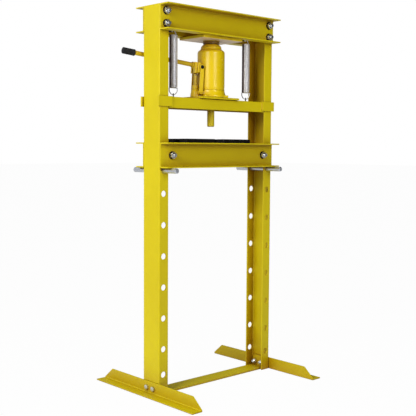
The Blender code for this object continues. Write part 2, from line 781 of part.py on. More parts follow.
def build_jack_base(shop):
    """One casting: a flared foot and a slab, with the pump's boss, a bridge to it, and the link's lug."""
    bottom = CARRIAGE_TOP + JACK_PLATE[2] + 2 * GAP
    top = BODY_BOTTOM - GAP
    flare = BODY_RADIUS + BASE_FLARE
    profile = [
        (0, top),
        (BODY_RADIUS, top),
        (BODY_RADIUS + 0.001, top - 0.007),
        (flare, bottom + 0.008),
        (flare, bottom + 0.002),
        (flare - 0.002, bottom),
        (0, bottom),
    ]
    base = shop.turned("jack_base", profile, shop.jack_paint)

    slab_place = jack_axes(0, bottom + BASE_SLAB[2] / 2)
    slab = shop.cutter("jack_base_slab", box_mesh("jack_base_slab", BASE_SLAB), slab_place)
    bevel(slab, BASE_SLAB_CORNER, 3)
    shop.boolean(base, slab, "UNION")

    boss_profile = [
        (0, top + BOSS_RISE),
        (BOSS_TOP_RADIUS, top + BOSS_RISE),
        (BOSS_TOP_RADIUS, top),
        (BOSS_FOOT_RADIUS, bottom + 0.010),
        (BOSS_FOOT_RADIUS, bottom + 0.001),
        (0, bottom + 0.001),
    ]
    boss_place = Matrix.Translation(lever_plane(PUMP_R, 0))
    boss = shop.cutter("jack_base_boss", profile_mesh("jack_base_boss", boss_profile), boss_place)
    screw(boss, 20)
    shop.boolean(base, boss, "UNION")

    bridge_size = (PUMP_R - 0.012, BRIDGE_WIDTH, top - bottom - 0.006)
    bridge_mesh = box_mesh("jack_base_bridge", bridge_size)
    bridge_place = jack_axes(PUMP_R / 2, (top + bottom) / 2 - 0.002)
    shop.boolean(base, shop.cutter("jack_base_bridge", bridge_mesh, bridge_place), "UNION")

    lug_width = 2 * (LINK_SIDE - LINK_PLATE / 2 - LUG_CLEARANCE)
    lug_mesh = box_mesh("jack_base_lug", (LUG_LENGTH, lug_width, LUG_HEIGHT))
    lug_place = jack_axes(LUG_REACH - LUG_LENGTH / 2, LINK_FOOT_Z - 0.001)
    shop.boolean(base, shop.cutter("jack_base_lug", lug_mesh, lug_place), "UNION")

    link_pin = along(LEVER_ACROSS, lever_plane(LINK_FOOT_R, LINK_FOOT_Z))
    shop.drill(base, [(link_pin, LINK_PIN + HOLE_SLACK, THROUGH_LEVER)])
    seat = [(Matrix.Identity(4), VALVE_RADIUS + HOLE_SLACK, DRILL)]
    seat_place = valve_place(VALVE_START - VALVE_CLEARANCE + DRILL / 2)
    seat_tool = shop.cutter("jack_base_valve_seat", rods_mesh("jack_base_valve_seat", seat), seat_place)
    shop.boolean(base, seat_tool)


def valve_place(distance):
    """A placement on the release valve's axis, with its local Z pointing outward."""
    out = Vector((-math.cos(VALVE_ANGLE), math.sin(VALVE_ANGLE), 0))
    return along(out, out * distance + Vector((0, 0, VALVE_Z)))


def build_release_valve(shop):
    """A slotted screw, in line with its seat."""
    radius, length = VALVE_RADIUS, VALVE_LENGTH
    profile = [
        (0, length),
        (radius - 0.0008, length),
        (radius, length - 0.001),
        (radius, 0.001),
        (radius - 0.001, 0),
        (0, 0),
    ]
    valve = shop.turned("release_valve", profile, shop.zinc, valve_place(VALVE_START), 20)
    slot_mesh = box_mesh("release_valve_slot", VALVE_SLOT)
    slot_place = valve_place(VALVE_START + length - 0.001)
    shop.boolean(valve, shop.cutter("release_valve_slot", slot_mesh, slot_place))


def build_reservoir(shop):
    """The oil reservoir's shell, drilled for the rubber filler plug."""
    inner = BODY_RADIUS - BODY_WALL
    neck = CYLINDER_RADIUS + 0.002
    profile = [(neck, BODY_TOP), (BODY_NECK, BODY_TOP), (BODY_NECK, BODY_TOP - NECK_HEIGHT)]
    profile += arc((BODY_RADIUS - SHOULDER_RADIUS, BODY_SHOULDER), SHOULDER_RADIUS, 55, 0, 4)
    profile += [(BODY_RADIUS, BODY_BOTTOM), (inner, BODY_BOTTOM), (inner, BODY_SHOULDER)]
    profile += [(neck, BODY_SHOULDER + 0.012)]
    body = shop.turned("jack_reservoir", profile, shop.jack_paint)

    plug_out = Vector((math.sin(PLUG_ANGLE), -math.cos(PLUG_ANGLE), 0))
    plug_height = Vector((0, 0, PLUG_Z))
    hole_place = along(plug_out, plug_out * (BODY_RADIUS - BODY_WALL / 2) + plug_height)
    shop.drill(body, [(hole_place, PLUG_RADIUS + 2 * GAP, 3 * BODY_WALL)], 12)
    profile = [(0, PLUG_LENGTH), (PLUG_RADIUS, PLUG_LENGTH), (PLUG_RADIUS, 0), (0, 0)]
    plug_place = along(plug_out, plug_out * (BODY_RADIUS - 0.005) + plug_height)
    shop.turned("filler_plug", profile, shop.rubber, plug_place, 14)


def build_jack_cylinder(shop):
    """The pressure cylinder, hidden in the reservoir, and the cap that closes both over the ram."""
    top = BODY_TOP - BODY_WALL
    profile = [(CYLINDER_BORE, top), (CYLINDER_RADIUS, top)]
    profile += [(CYLINDER_RADIUS, BODY_BOTTOM), (CYLINDER_BORE, BODY_BOTTOM)]
    shop.turned("jack_cylinder", profile, shop.ground_steel, steps=24)

    base = BODY_TOP + GAP
    bore = RAM_RADIUS + 2 * GAP
    profile = [(bore, CAP_TOP), (CAP_LAND, CAP_TOP), (CAP_LAND + 0.003, CAP_TOP - 0.002)]
    profile += [(CAP_RADIUS, base + 0.009), (CAP_RADIUS, base), (bore, base)]
    shop.turned("jack_cap", profile, shop.jack_paint)


def build_ram(shop):
    """The ram and its piston. At rest its end sits just below the press plate."""
    top = ram_top()
    piston = CYLINDER_BORE - GAP
    shoulder = RAM_BOTTOM + PISTON_HEIGHT
    profile = [
        (0, top),
        (RAM_RADIUS - 0.0015, top),
        (RAM_RADIUS, top - 0.0015),
        (RAM_RADIUS, shoulder),
        (piston, shoulder),
        (piston, RAM_BOTTOM),
        (0, RAM_BOTTOM),
    ]
    shop.turned("jack_ram", profile, shop.ground_steel, steps=24)


def ram_top():
    return PRESS_HEIGHT - CHANNEL_WEB - PRESS_PLATE[2] - 3 * GAP


def build_pump_cylinder(shop):
    bottom = BODY_BOTTOM + BOSS_RISE
    bore = PLUNGER_RADIUS + 0.0005
    profile = [
        (bore, PUMP_TOP),
        (PUMP_RADIUS - 0.002, PUMP_TOP),
        (PUMP_RADIUS, PUMP_TOP - 0.002),
        (PUMP_RADIUS, PUMP_TOP - 0.008),
        (PUMP_FOOT_RADIUS, bottom),
        (bore, bottom),
    ]
    shop.turned("pump_cylinder", profile, shop.jack_paint, Matrix.Translation(lever_plane(PUMP_R, 0)), 24)


def build_plunger(shop):
    """The plunger and the tongue at its top, whose eye is loose on the lever's pin."""
    shoulder = PUMP_PIN_Z - 0.010
    profile = [
        (0, shoulder),
        (PLUNGER_RADIUS, shoulder),
        (PLUNGER_RADIUS, PLUNGER_END),
        (0, PLUNGER_END),
    ]
    place = Matrix.Translation(lever_plane(PUMP_R, 0))
    plunger = shop.turned("pump_plunger", profile, shop.ground_steel, place, 20)
    outline = arc((0, 0), TONGUE_RADIUS, 0, 360, 20)[:-1]
    tongue_mesh = outline_mesh("pump_plunger_tongue", outline, TONGUE_WIDTH)
    tongue_place = axes(LEVER_OUT, (0, 0, 1), lever_plane(PUMP_R, PUMP_PIN_Z))
    shop.boolean(plunger, shop.cutter("pump_plunger_tongue", tongue_mesh, tongue_place), "UNION")
    eye = along(LEVER_ACROSS, lever_plane(PUMP_R, PUMP_PIN_Z))
    shop.drill(plunger, [(eye, TONGUE_EYE, 0.030)])


# ---------------------------------------------------------------- lever, link and handle
def build_link(shop):
    """Two side plates joined by the foot pin, each with a short pin of its own at the top."""
    name = "pump_link"
    foot = lever_plane(LINK_FOOT_R, LINK_FOOT_Z)
    top = from_link_pin(0, 0)
    rise = (top - foot).normalized()
    outward = LEVER_ACROSS.cross(rise) * -1
    half = (top - foot).length / 2
    wide = LINK_HALF_WIDTH
    outline = arc((0, half), LINK_HEAD, -40, 220, 10)
    outline += [(-wide, half - 0.018), (-wide, -half + 0.006)]
    outline += arc((0, -half), LINK_FOOT, 180, 360, 8)
    outline += [(wide, -half + 0.006), (wide, half - 0.018)]

    def plate_place(side):
        return axes(outward, rise, (top + foot) / 2 + LEVER_ACROSS * side)

    near = plate_place(-LINK_SIDE)
    link = shop.piece(name, outline_mesh(name, outline, LINK_PLATE), shop.jack_paint, near)
    far_mesh = outline_mesh(name + "_far", outline, LINK_PLATE)
    shop.boolean(link, shop.cutter(name + "_far", far_mesh, plate_place(LINK_SIDE)), "UNION")
    reach = LINK_SIDE + LINK_PLATE / 2 + LINK_PIN_PROUD
    inner = FORK_SPACE_HALF + 0.0005
    rods = [(along(LEVER_ACROSS, foot), LINK_PIN, 2 * reach)]
    for side, _ in SIDES:
        centre = top + LEVER_ACROSS * side * (reach + inner) / 2
        rods.append((along(LEVER_ACROSS, centre), LINK_PIN, reach - inner))
    pins = shop.cutter(name + "_pins", rods_mesh(name + "_pins", rods, 14))
    shop.boolean(link, pins, "UNION")


def fork_outline():
    """Side view of the socket's fork, about the link's top pin and along the handle."""
    outline = arc((0, 0), FORK_END, 120, 240, 5)
    outline += [(0.0040, SOCKET_BOTTOM + 0.004), (FORK_REACH - 0.002, SOCKET_BOTTOM + 0.002)]
    outline += [(FORK_REACH, SOCKET_TOP), (0.0085, SOCKET_TOP)]
    return outline


def socket_outline():
    """Side view of the socket's middle, which holds the handle's tube and the plunger's pin."""
    pin = lever_plane(PUMP_R, PUMP_PIN_Z) - from_link_pin(0, 0)
    pin_centre = (pin.dot(HANDLE_DIRECTION), pin.dot(HANDLE_UP))
    outline = [(0.0040, 0.004), (0.0035, -0.012)]
    outline += arc(pin_centre, 0.0085, 190, 290, 5)
    outline += [(SOCKET_REACH - 0.0055, SOCKET_BOTTOM), (SOCKET_REACH, SOCKET_TOP)]
    outline.append((0.0085, SOCKET_TOP))
    return outline


def build_lever(shop):
    """The forked casting that takes the handle, and the pin that drives the plunger."""
    name = "handle_socket"
    place = axes(HANDLE_DIRECTION, HANDLE_UP, from_link_pin(0, 0))
    fork = outline_mesh(name, fork_outline(), 2 * FORK_HALF)
    part = shop.piece(name, fork, shop.jack_paint, place)
    space_centre = lever_plane(LINK_TOP_R, SLOT_CEILING - FORK_SPACE[1] / 2)
    space_size = (*FORK_SPACE, 2 * FORK_SPACE_HALF)
    space_place = axes(LEVER_OUT, (0, 0, 1), space_centre)
    space = shop.cutter(name + "_space", box_mesh(name + "_space", space_size), space_place)
    shop.boolean(part, space)
    relief_size = (*FORK_RELIEF, 2 * FORK_SPACE_HALF)
    relief_r = LINK_TOP_R + FORK_RELIEF_END - FORK_RELIEF[0] / 2
    relief_place = axes(LEVER_OUT, (0, 0, 1), lever_plane(relief_r, LINK_TOP_Z))
    relief = shop.cutter(name + "_relief", box_mesh(name + "_relief", relief_size), relief_place)
    shop.boolean(part, relief)
    middle = outline_mesh(name + "_middle", socket_outline(), 2 * SOCKET_HALF)
    shop.boolean(part, shop.cutter(name + "_middle", middle, place), "UNION")

    pin_point = lever_plane(PUMP_R, PUMP_PIN_Z)
    slot_centre = lever_plane(PUMP_R, SLOT_CEILING - SOCKET_SLOT[1] / 2)
    slot_place = axes(LEVER_OUT, (0, 0, 1), slot_centre)
    slot = shop.cutter(name + "_slot", box_mesh(name + "_slot", SOCKET_SLOT), slot_place)
    shop.boolean(part, slot)
    handle_bore = along(HANDLE_DIRECTION, from_link_pin(HANDLE_BORE[1], HANDLE_LIFT))
    holes = [
        (handle_bore, HANDLE_RADIUS + HOLE_SLACK, HANDLE_BORE[0]),
        (along(LEVER_ACROSS, from_link_pin(0, 0)), LINK_PIN + GAP, THROUGH_LEVER),
        (along(LEVER_ACROSS, pin_point), LEVER_PIN + GAP, 2 * FORK_SPACE_HALF),
    ]
    shop.drill(part, holes)

    rod = [(Matrix.Identity(4), LEVER_PIN, 2 * SOCKET_HALF + 0.003)]
    pin_place = along(LEVER_ACROSS, pin_point)
    plunger_pin = shop.piece("plunger_pin", rods_mesh("plunger_pin", rod), shop.zinc, pin_place)
    smooth_round(plunger_pin)


def build_handle(shop):
    """A tube pushed into the socket, with a rubber grip on its end."""
    radius = HANDLE_RADIUS
    inner = radius - HANDLE_WALL
    place = along(HANDLE_DIRECTION, from_link_pin(HANDLE_START, HANDLE_LIFT))
    profile = [(inner, HANDLE_LENGTH), (radius, HANDLE_LENGTH), (radius, 0), (inner, 0)]
    shop.turned("pump_handle", profile, shop.jack_paint, place, 24)

    grip_start = HANDLE_START + HANDLE_LENGTH - GRIP_LENGTH + GRIP_END
    grip_place = along(HANDLE_DIRECTION, from_link_pin(grip_start, HANDLE_LIFT))
    outer = GRIP_RADIUS
    bore = radius + GAP
    floor = GRIP_LENGTH - GRIP_END + 0.0005
    profile = [(0, GRIP_LENGTH), (outer - 0.005, GRIP_LENGTH), (outer - 0.001, GRIP_LENGTH - 0.002)]
    profile += [(outer, GRIP_LENGTH - 0.006), (outer, 0.002), (outer - 0.001, 0), (bore, 0)]
    profile += [(bore, floor), (0, floor)]
    shop.turned("handle_grip", profile, shop.rubber, grip_place, 24)


# ---------------------------------------------------------------- assembly
def build_frame(shop):
    """Everything that stands still."""
    shop.carrier("frame_origin")
    for side, side_name in SIDES:
        build_column(shop, "column_" + side_name, side)
        build_foot(shop, "foot_" + side_name, side)
        build_spring(shop, side, side_name)
    build_head(shop)
    build_strut(shop)
    build_foot_bolts(shop)


def build_bed_group(shop):
    """The bed with its bolts, and the plates and pins that slide on it and under it."""
    bed = shop.carrier("bed_slide", Matrix.Translation((0, 0, BED_UNDERSIDE)))
    build_bed(shop)
    plate_z = BED_UNDERSIDE + CHANNEL_WEB
    for side, side_name, inner in ((-1, "left", ARBOR_INNER_LEFT), (1, "right", ARBOR_INNER_RIGHT)):
        shop.carrier("arbor_slide_" + side_name, Matrix.Translation((inner, 0, plate_z)), bed)
        build_arbor_plate(shop, "arbor_plate_" + side_name, side, inner)
    pin_z = BED_ROW_Z - PIN_HOLE_RADIUS + BED_PIN_RADIUS + GAP
    for side, side_name in SIDES:
        place = along((0, 1, 0), (side * PIN_HOLE_X, BED_PIN_FRONT, pin_z))
        shop.carrier("bed_pin_slide_" + side_name, place)
        build_bed_pin(shop, "bed_pin_" + side_name, place)


def build_carriage_group(shop):
    """The sprung carriage, and the jack that stands on it with its moving pieces."""
    carriage = shop.carrier("carriage_slide", Matrix.Translation((0, 0, CARRIAGE_TOP)))
    build_carriage(shop)
    for side, side_name in SIDES:
        build_spring_eye(shop, side, side_name)
    build_jack_base(shop)
    build_reservoir(shop)
    build_jack_cylinder(shop)
    build_pump_cylinder(shop)

    shop.carrier("ram_slide", Matrix.Translation((0, 0, ram_top())), carriage)
    build_ram(shop)
    shop.carrier("release_valve_turn", valve_place(VALVE_START), carriage)
    build_release_valve(shop)
    shop.carrier("plunger_slide", Matrix.Translation(lever_plane(PUMP_R, PUMP_PIN_Z)), carriage)
    build_plunger(shop)

    link_place = along(LEVER_ACROSS, lever_plane(LINK_FOOT_R, LINK_FOOT_Z))
    link = shop.carrier("link_hinge", link_place, carriage)
    build_link(shop)
    lever = shop.carrier("lever_hinge", along(LEVER_ACROSS, from_link_pin(0, 0)), link)
    build_lever(shop)
    handle_place = along(HANDLE_DIRECTION, from_link_pin(HANDLE_START, HANDLE_LIFT))
    shop.carrier("handle_slide", handle_place, lever)
    build_handle(shop)


def build_press():
    clear_scene()
    shop = Workshop()
    build_frame(shop)
    build_bed_group(shop)
    build_carriage_group(shop)


build_press()
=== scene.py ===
"""Looks for the hydraulic shop press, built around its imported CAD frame.

Everything is in metres in the frame's own axes: +Z up, X along the beams, -Y towards the operator.
Sizes come from the boxes of the CAD nodes, and the fine pieces keep inside them.
"""

import json
import math
import random

import bmesh
import bpy
from mathutils import Matrix, Vector


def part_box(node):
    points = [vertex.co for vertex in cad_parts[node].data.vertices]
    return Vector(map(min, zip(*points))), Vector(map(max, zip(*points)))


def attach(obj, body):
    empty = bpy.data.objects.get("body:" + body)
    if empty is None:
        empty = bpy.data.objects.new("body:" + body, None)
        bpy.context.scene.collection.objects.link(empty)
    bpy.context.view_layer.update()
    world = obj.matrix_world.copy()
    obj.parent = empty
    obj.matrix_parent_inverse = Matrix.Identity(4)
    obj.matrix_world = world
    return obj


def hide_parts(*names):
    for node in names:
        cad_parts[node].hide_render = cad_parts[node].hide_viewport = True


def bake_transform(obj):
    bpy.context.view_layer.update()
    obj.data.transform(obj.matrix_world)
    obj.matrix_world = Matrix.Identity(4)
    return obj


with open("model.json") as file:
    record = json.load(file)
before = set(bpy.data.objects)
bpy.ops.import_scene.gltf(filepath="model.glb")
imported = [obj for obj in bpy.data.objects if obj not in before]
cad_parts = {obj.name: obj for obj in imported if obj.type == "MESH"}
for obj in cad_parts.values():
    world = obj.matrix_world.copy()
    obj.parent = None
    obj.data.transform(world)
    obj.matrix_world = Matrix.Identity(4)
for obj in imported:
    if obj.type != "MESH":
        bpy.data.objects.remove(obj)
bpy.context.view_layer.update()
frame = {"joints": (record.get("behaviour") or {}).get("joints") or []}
RANDOM = random.Random(20)

# ---------------------------------------------------------------- sizes
WALL = 0.005  # wall of every channel and angle
CORNER = 0.0035  # outer rounding of a rolled corner
FILLET = 0.004  # inner rounding of a rolled corner
TIP = 0.0012  # rounding of a flange's free edge
CUT_EDGE = 0.0005  # bevel on the edges of a cut section
WASHER = 0.0026  # thickness of a washer
THREAD_PITCH = 0.002
BEAD = 0.0022  # radius of a weld bead
EYE_WIRE = 0.0021
EYE_RING = 0.0052
HOOK_TURN = math.radians(-42)  # the springs' lower hooks lie across this direction
HOOK_ACROSS = Vector((math.cos(HOOK_TURN), math.sin(HOOK_TURN), 0))

PIN_HOLE, BOLT_HOLE, FOOT_HOLE, EYE_HOLE = 0.0125, 0.0088, 0.0066, 0.0030  # radii of the frame's holes
THROUGH = 0.14  # drill length that passes both of a column's flanges
LARGE_BOLT = (0.024, 0.010, 0.008, 0.013)  # across flats, head height, shank radius, nut height
FOOT_BOLT = (0.018, 0.0075, 0.006, 0.010)
BOLT_END = 0.010  # a foot bolt's length past its nut
THREAD_BEFORE_NUT = 0.012
BED_ROW = 0.900  # height of the pin holes that carry the bed
PIN_ROWS = [0.084] + [0.187 + 0.124 * k for k in range(6)] + [BED_ROW]
SIDES = ((-1, "left"), (1, "right"))
FACINGS = ((-1, "front"), (1, "rear"))
ENDS = ("front", "rear")
LEVELS = ("upper", "lower")
X_AXIS, Y_AXIS = (1, 0, 0), (0, 1, 0)

LEVER_ANGLE = math.radians(14.5)  # the handle's plane lies this far behind -X
LEVER_SLOPE = math.radians(7.5)
LEVER_OUT = Vector((-math.cos(LEVER_ANGLE), math.sin(LEVER_ANGLE), 0))
LEVER_ACROSS = Vector((math.sin(LEVER_ANGLE), math.cos(LEVER_ANGLE), 0))
HANDLE_OUT = LEVER_OUT * math.cos(LEVER_SLOPE) + Vector((0, 0, math.sin(LEVER_SLOPE)))
HANDLE_UP = LEVER_OUT * -math.sin(LEVER_SLOPE) + Vector((0, 0, math.cos(LEVER_SLOPE)))
UP = Vector((0, 0, 1))

BRIGHT_SIDE = (-0.75, 0.53, 0.40)  # unit vector towards the brightest part of the studio
DIM_LIGHT = 0.03
BRIGHT_LIGHT = 0.62
LAMPS = [
    ("key", (-4.2, -1.3, 2.6), (-0.1, 0.0, 0.9), 1.7, 135.0),
    ("front", (-0.6, -4.3, 2.2), (0.0, 0.0, 0.9), 1.5, 66.0),
]


def joint(name):
    return next(j for j in frame["joints"] if j["name"] == name)


def middle(node):
    low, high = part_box(node)
    return (low + high) / 2


def extent(node):
    low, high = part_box(node)
    return high - low


# ---------------------------------------------------------------- materials
class Look:
    """A material, with short calls that add and join its nodes."""

    def __init__(self, name):
        self.material = bpy.data.materials.new(name)
        self.material.use_nodes = True
        self.tree = self.material.node_tree
        self.tree.nodes.clear()
        self.shader = self.node("ShaderNodeBsdfPrincipled")
        output = self.node("ShaderNodeOutputMaterial")
        self.join(self.shader.outputs["BSDF"], output.inputs["Surface"])
        self.place = self.node("ShaderNodeTexCoord").outputs["Object"]

    def node(self, kind, **settings):
        made = self.tree.nodes.new(kind)
        for key, value in settings.items():
            setattr(made, key, value)
        return made

    def join(self, source, target):
        self.tree.links.new(source, target)

    def feed(self, target, value):
        """Sets an input to a number or colour, or joins a socket to it."""
        if isinstance(value, bpy.types.NodeSocket):
            self.join(value, target)
        else:
            target.default_value = value

    def fed(self, kind, output, inputs, **settings):
        """Adds a node, feeds the inputs listed, and returns one of its outputs."""
        made = self.node("ShaderNode" + kind, **settings)
        for key, value in inputs.items():
            self.feed(made.inputs[key], value)
        return made.outputs[output]

    def stretched(self, scale):
        return self.fed("Mapping", "Vector", {"Vector": self.place, "Scale": scale})

    def noise(self, scale, detail=2.0, rough=0.5, place=None):
        inputs = {"Vector": place or self.place, "Scale": scale, "Detail": detail, "Roughness": rough}
        return self.fed("TexNoise", "Fac", inputs)

    def fit(self, value, low, high, to_low=0.0, to_high=1.0):
        inputs = {"Value": value, "From Min": low, "From Max": high, "To Min": to_low, "To Max": to_high}
        return self.fed("MapRange", "Result", inputs)

    def math(self, operation, first, second):
        return self.fed("Math", "Value", {0: first, 1: second}, operation=operation)

    def mix(self, share, first, second):
        return self.fed("Mix", "Result", {"Factor": share, "A": first, "B": second}, data_type="RGBA")

    def patchy(self, scale, low, high, detail=2.0, rough=0.5):
        """Noise turned into soft-edged patches, 0 outside them and 1 inside."""
        return self.fit(self.noise(scale, detail, rough), low, high)

    def uneven(self, scale, low, high, detail=2.0, rough=0.5):
        """A roughness that wanders between two values."""
        return self.fit(self.noise(scale, detail, rough), 0.3, 0.7, low, high)

    def tint(self, body, mask, share, colour):
        """Lays a share of a colour over the body where the mask is 1."""
        return self.mix(self.math("MULTIPLY", mask, share), body, colour)

    def split(self, vector):
        made = self.node("ShaderNodeSeparateXYZ")
        self.join(vector, made.inputs["Vector"])
        return made.outputs

    def edges(self, radius):
        """About 1 on a sharp outer or inner edge, and 0 on a flat."""
        bent = self.fed("Bevel", "Normal", {"Radius": radius}, samples=4)
        true = self.fed("NewGeometry", "Normal", {})
        dot = self.fed("VectorMath", "Value", {0: bent, 1: true}, operation="DOT_PRODUCT")
        return self.fit(dot, 0.995, 0.86)

    def open_sky(self, reach):
        """1 in the open, less in corners and under ledges."""
        return self.fed("AmbientOcclusion", "AO", {"Distance": reach}, samples=6)

    def bump(self, height, strength, depth, under=None):
        inputs = {"Strength": strength, "Distance": depth, "Height": height}
        if under is not None:
            inputs["Normal"] = under
        return self.fed("Bump", "Normal", inputs)

    def surface(self, colour, rough, metal, normal=None, coat=0.0, coat_rough=0.1, shine=0.5):
        inputs = {
            "Base Color": colour,
            "Roughness": rough,
            "Metallic": metal,
            "Coat Weight": coat,
            "Coat Roughness": coat_rough,
            "Specular IOR Level": shine,
        }
        if normal is not None:
            inputs["Normal"] = normal
        for key, value in inputs.items():
            self.feed(self.shader.inputs[key], value)
        return self.material


def rgb(red, green, blue):
    return (red, green, blue, 1.0)


SHADED_SIDE = (-0.737, 0.676)  # X and Y of the way the springs' painted shade faces: the left side of the view
CREVICE_SHADE = rgb(0.070, 0.022, 0.002)  # painted shade: dark brown in the tightest corners and under ledges


def painted_steel(name, bright, deep, corner, rough, coat, peel, wear, shine):
    """Sprayed enamel: thick and thin patches, orange peel, painted brown shade in corners and crevices,
    rubbed edges.
    """
    look = Look(name)
    body = look.tint(rgb(*bright), look.patchy(3.0, 0.32, 0.68, 3.0), 0.6, rgb(*deep))
    body = look.tint(body, look.patchy(26.0, 0.35, 0.65, 4.0, 0.6), 0.25, rgb(*deep))
    # painted shade: brown in hollows from the corner colour, then near black in the tightest corners and
    # under ledges
    body = look.tint(body, look.fit(look.open_sky(0.22), 0.78, 0.24), 0.85, rgb(*corner))
    body = look.tint(body, look.fit(look.open_sky(0.012), 0.62, 0.28), 0.80, CREVICE_SHADE)

    patches = look.patchy(170.0, 0.46, 0.60, 3.0, 0.7)
    rubbed = look.math("MULTIPLY", look.edges(0.0013), look.math("MULTIPLY", patches, wear))
    body = look.tint(body, rubbed, 0.55, rgb(0.20, 0.13, 0.03))
    body = look.tint(body, look.patchy(420.0, 0.735, 0.76), 0.5 * wear, rgb(0.16, 0.10, 0.02))

    dull = look.uneven(60.0, rough - 0.05, rough + 0.09, 4.0, 0.65)
    dull = look.math("ADD", dull, look.math("MULTIPLY", rubbed, 0.18))
    skin = look.bump(look.noise(520.0), peel, 0.00035)
    rolled = look.bump(look.noise(34.0, 3.0), peel * 0.9, 0.0016, skin)
    return look.surface(body, dull, 0.0, rolled, coat, 0.12, shine)


def plated_steel(name, light, dark, rough, streak):
    """Bright zinc: cloudy passivate, fine drawing marks along Z, dull spots."""
    look = Look(name)
    body = look.mix(look.patchy(120.0, 0.32, 0.68, 4.0, 0.65), light, dark)
    drawn = look.noise(1.0, 3.0, 0.6, look.stretched((900.0, 900.0, 90.0)))
    body = look.tint(body, look.patchy(430.0, 0.62, 0.70), 0.35, rgb(0.30, 0.29, 0.27))
    # painted shade: the zinc darkened in creases and under heads and nuts
    body = look.tint(body, look.fit(look.open_sky(0.006), 0.75, 0.25), 0.75, rgb(0.07, 0.065, 0.07))
    dull = look.fit(drawn, 0.3, 0.7, rough - 0.06, rough + 0.10)
    return look.surface(body, dull, 0.95, look.bump(drawn, streak, 0.0001))


def spring_wire(name, centre_x, coil_radius):
    """Bright drawn wire, with painted shade down the coil's far left side."""
    look = Look(name)
    place = look.split(look.place)
    across = look.math("MULTIPLY", look.math("SUBTRACT", place["X"], centre_x), SHADED_SIDE[0])
    across = look.math("ADD", across, look.math("MULTIPLY", place["Y"], SHADED_SIDE[1]))
    across = look.math("DIVIDE", across, coil_radius)
    ragged = look.math("MULTIPLY", look.noise(260.0, 3.0), 0.10)
    # painted shade: a dark band down the coil's left side, where the wire is also less metallic and less
    # shiny
    shade_band = look.fit(look.math("ADD", across, ragged), 0.46, 0.64)
    cloud = look.patchy(150.0, 0.34, 0.66, 4.0, 0.65)
    body = look.mix(cloud, rgb(0.96, 0.96, 0.98), rgb(0.80, 0.79, 0.84))
    body = look.tint(body, shade_band, 0.96, rgb(0.045, 0.008, 0.014))
    metal = look.fit(shade_band, 0.0, 1.0, 0.72, 0.0)
    dull = look.uneven(500.0, 0.26, 0.42)
    shine = look.fit(shade_band, 0.0, 1.0, 0.5, 0.06)
    return look.surface(body, dull, metal, look.bump(look.noise(900.0), 0.08, 0.0001), shine=shine)


def black_steel(name):
    """Oil-blacked plate: mottled scale, bare grey along handled edges."""
    look = Look(name)
    mottle = look.patchy(55.0, 0.35, 0.66, 5.0, 0.65)
    body = look.mix(mottle, rgb(0.0045, 0.0045, 0.0045), rgb(0.011, 0.010, 0.010))
    bare = look.math("MULTIPLY", look.edges(0.0011), look.patchy(140.0, 0.48, 0.62, 3.0, 0.7))
    body = look.tint(body, bare, 0.6, rgb(0.24, 0.24, 0.25))
    scale = look.bump(look.noise(330.0, 4.0, 0.6), 0.22, 0.0004)
    return look.surface(body, look.uneven(210.0, 0.42, 0.62, 3.0), 0.10, scale, shine=0.10)


def moulded_rubber(name):
    """Black grip rubber: cloudy, greyed along its rubbed edges, finely pebbled."""
    look = Look(name)
    cloud = look.patchy(70.0, 0.35, 0.68, 4.0, 0.6)
    body = look.mix(cloud, rgb(0.006, 0.006, 0.007), rgb(0.014, 0.014, 0.016))
    edge = look.math("MULTIPLY", look.edges(0.001), look.patchy(260.0, 0.45, 0.6))
    body = look.tint(body, edge, 0.5, rgb(0.075, 0.073, 0.072))
    pebble = look.bump(look.noise(1400.0), 0.3, 0.0002)
    return look.surface(body, look.uneven(160.0, 0.58, 0.80, 3.0), 0.0, pebble, shine=0.25)


def ground_bar(name):
    """Ground and oiled bar: rings around Z and a thin film."""
    look = Look(name)
    rings = look.noise(1.0, 2.0, 0.6, look.stretched((20.0, 20.0, 2600.0)))
    body = look.mix(look.patchy(38.0, 0.35, 0.65, 3.0), rgb(0.66, 0.65, 0.64), rgb(0.48, 0.46, 0.42))
    dull = look.fit(rings, 0.3, 0.7, 0.10, 0.24)
    return look.surface(body, dull, 1.0, look.bump(rings, 0.06, 0.00006), 0.25, 0.05)


def worn_plate(name):
    """The thrust plate: painted edges, and an underside left as pale ground steel."""
    look = Look(name)
    patch = look.patchy(16.0, 0.40, 0.62, 4.0, 0.6)
    under = look.mix(patch, rgb(0.78, 0.60, 0.36), rgb(0.72, 0.60, 0.46))
    paint = look.mix(patch, rgb(0.66, 0.50, 0.001), rgb(0.56, 0.38, 0.001))
    facing = look.split(look.node("ShaderNodeNewGeometry").outputs["Normal"])
    body = look.mix(look.fit(facing["Z"], -0.55, -0.85), paint, under)
    # painted shade: brown in the plate's corners and under ledges
    body = look.tint(body, look.fit(look.open_sky(0.08), 0.60, 0.15), 0.6, rgb(0.30, 0.12, 0.01))
    dull = look.uneven(80.0, 0.30, 0.46, 3.0)
    return look.surface(body, dull, 0.0, look.bump(look.noise(260.0, 3.0), 0.10, 0.0003))


def shaded_plunger(name, shade_start):
    """The plunger: oversprayed paint on its lower length, painted shade at its top under the lever's socket.
    """
    look = Look(name)
    ragged = look.math("MULTIPLY", look.noise(300.0, 3.0), 0.004)
    height = look.math("ADD", look.split(look.place)["Z"], ragged)
    shade_band = look.fit(height, shade_start, shade_start + 0.004)
    streaks = look.fit(look.noise(1.0, 3.0, 0.6, look.stretched((500.0, 500.0, 60.0))), 0.45, 0.62)
    body = look.tint(rgb(0.66, 0.46, 0.01), streaks, 0.35, rgb(0.34, 0.22, 0.03))
    # painted shade: near black, in patches, above the given height under the socket
    body = look.tint(body, shade_band, look.patchy(150.0, 0.42, 0.56), rgb(0.030, 0.018, 0.010))
    dull = look.uneven(140.0, 0.28, 0.48, 3.0)
    return look.surface(body, dull, 0.0, look.bump(look.noise(420.0), 0.12, 0.0003), 0.2, 0.1)
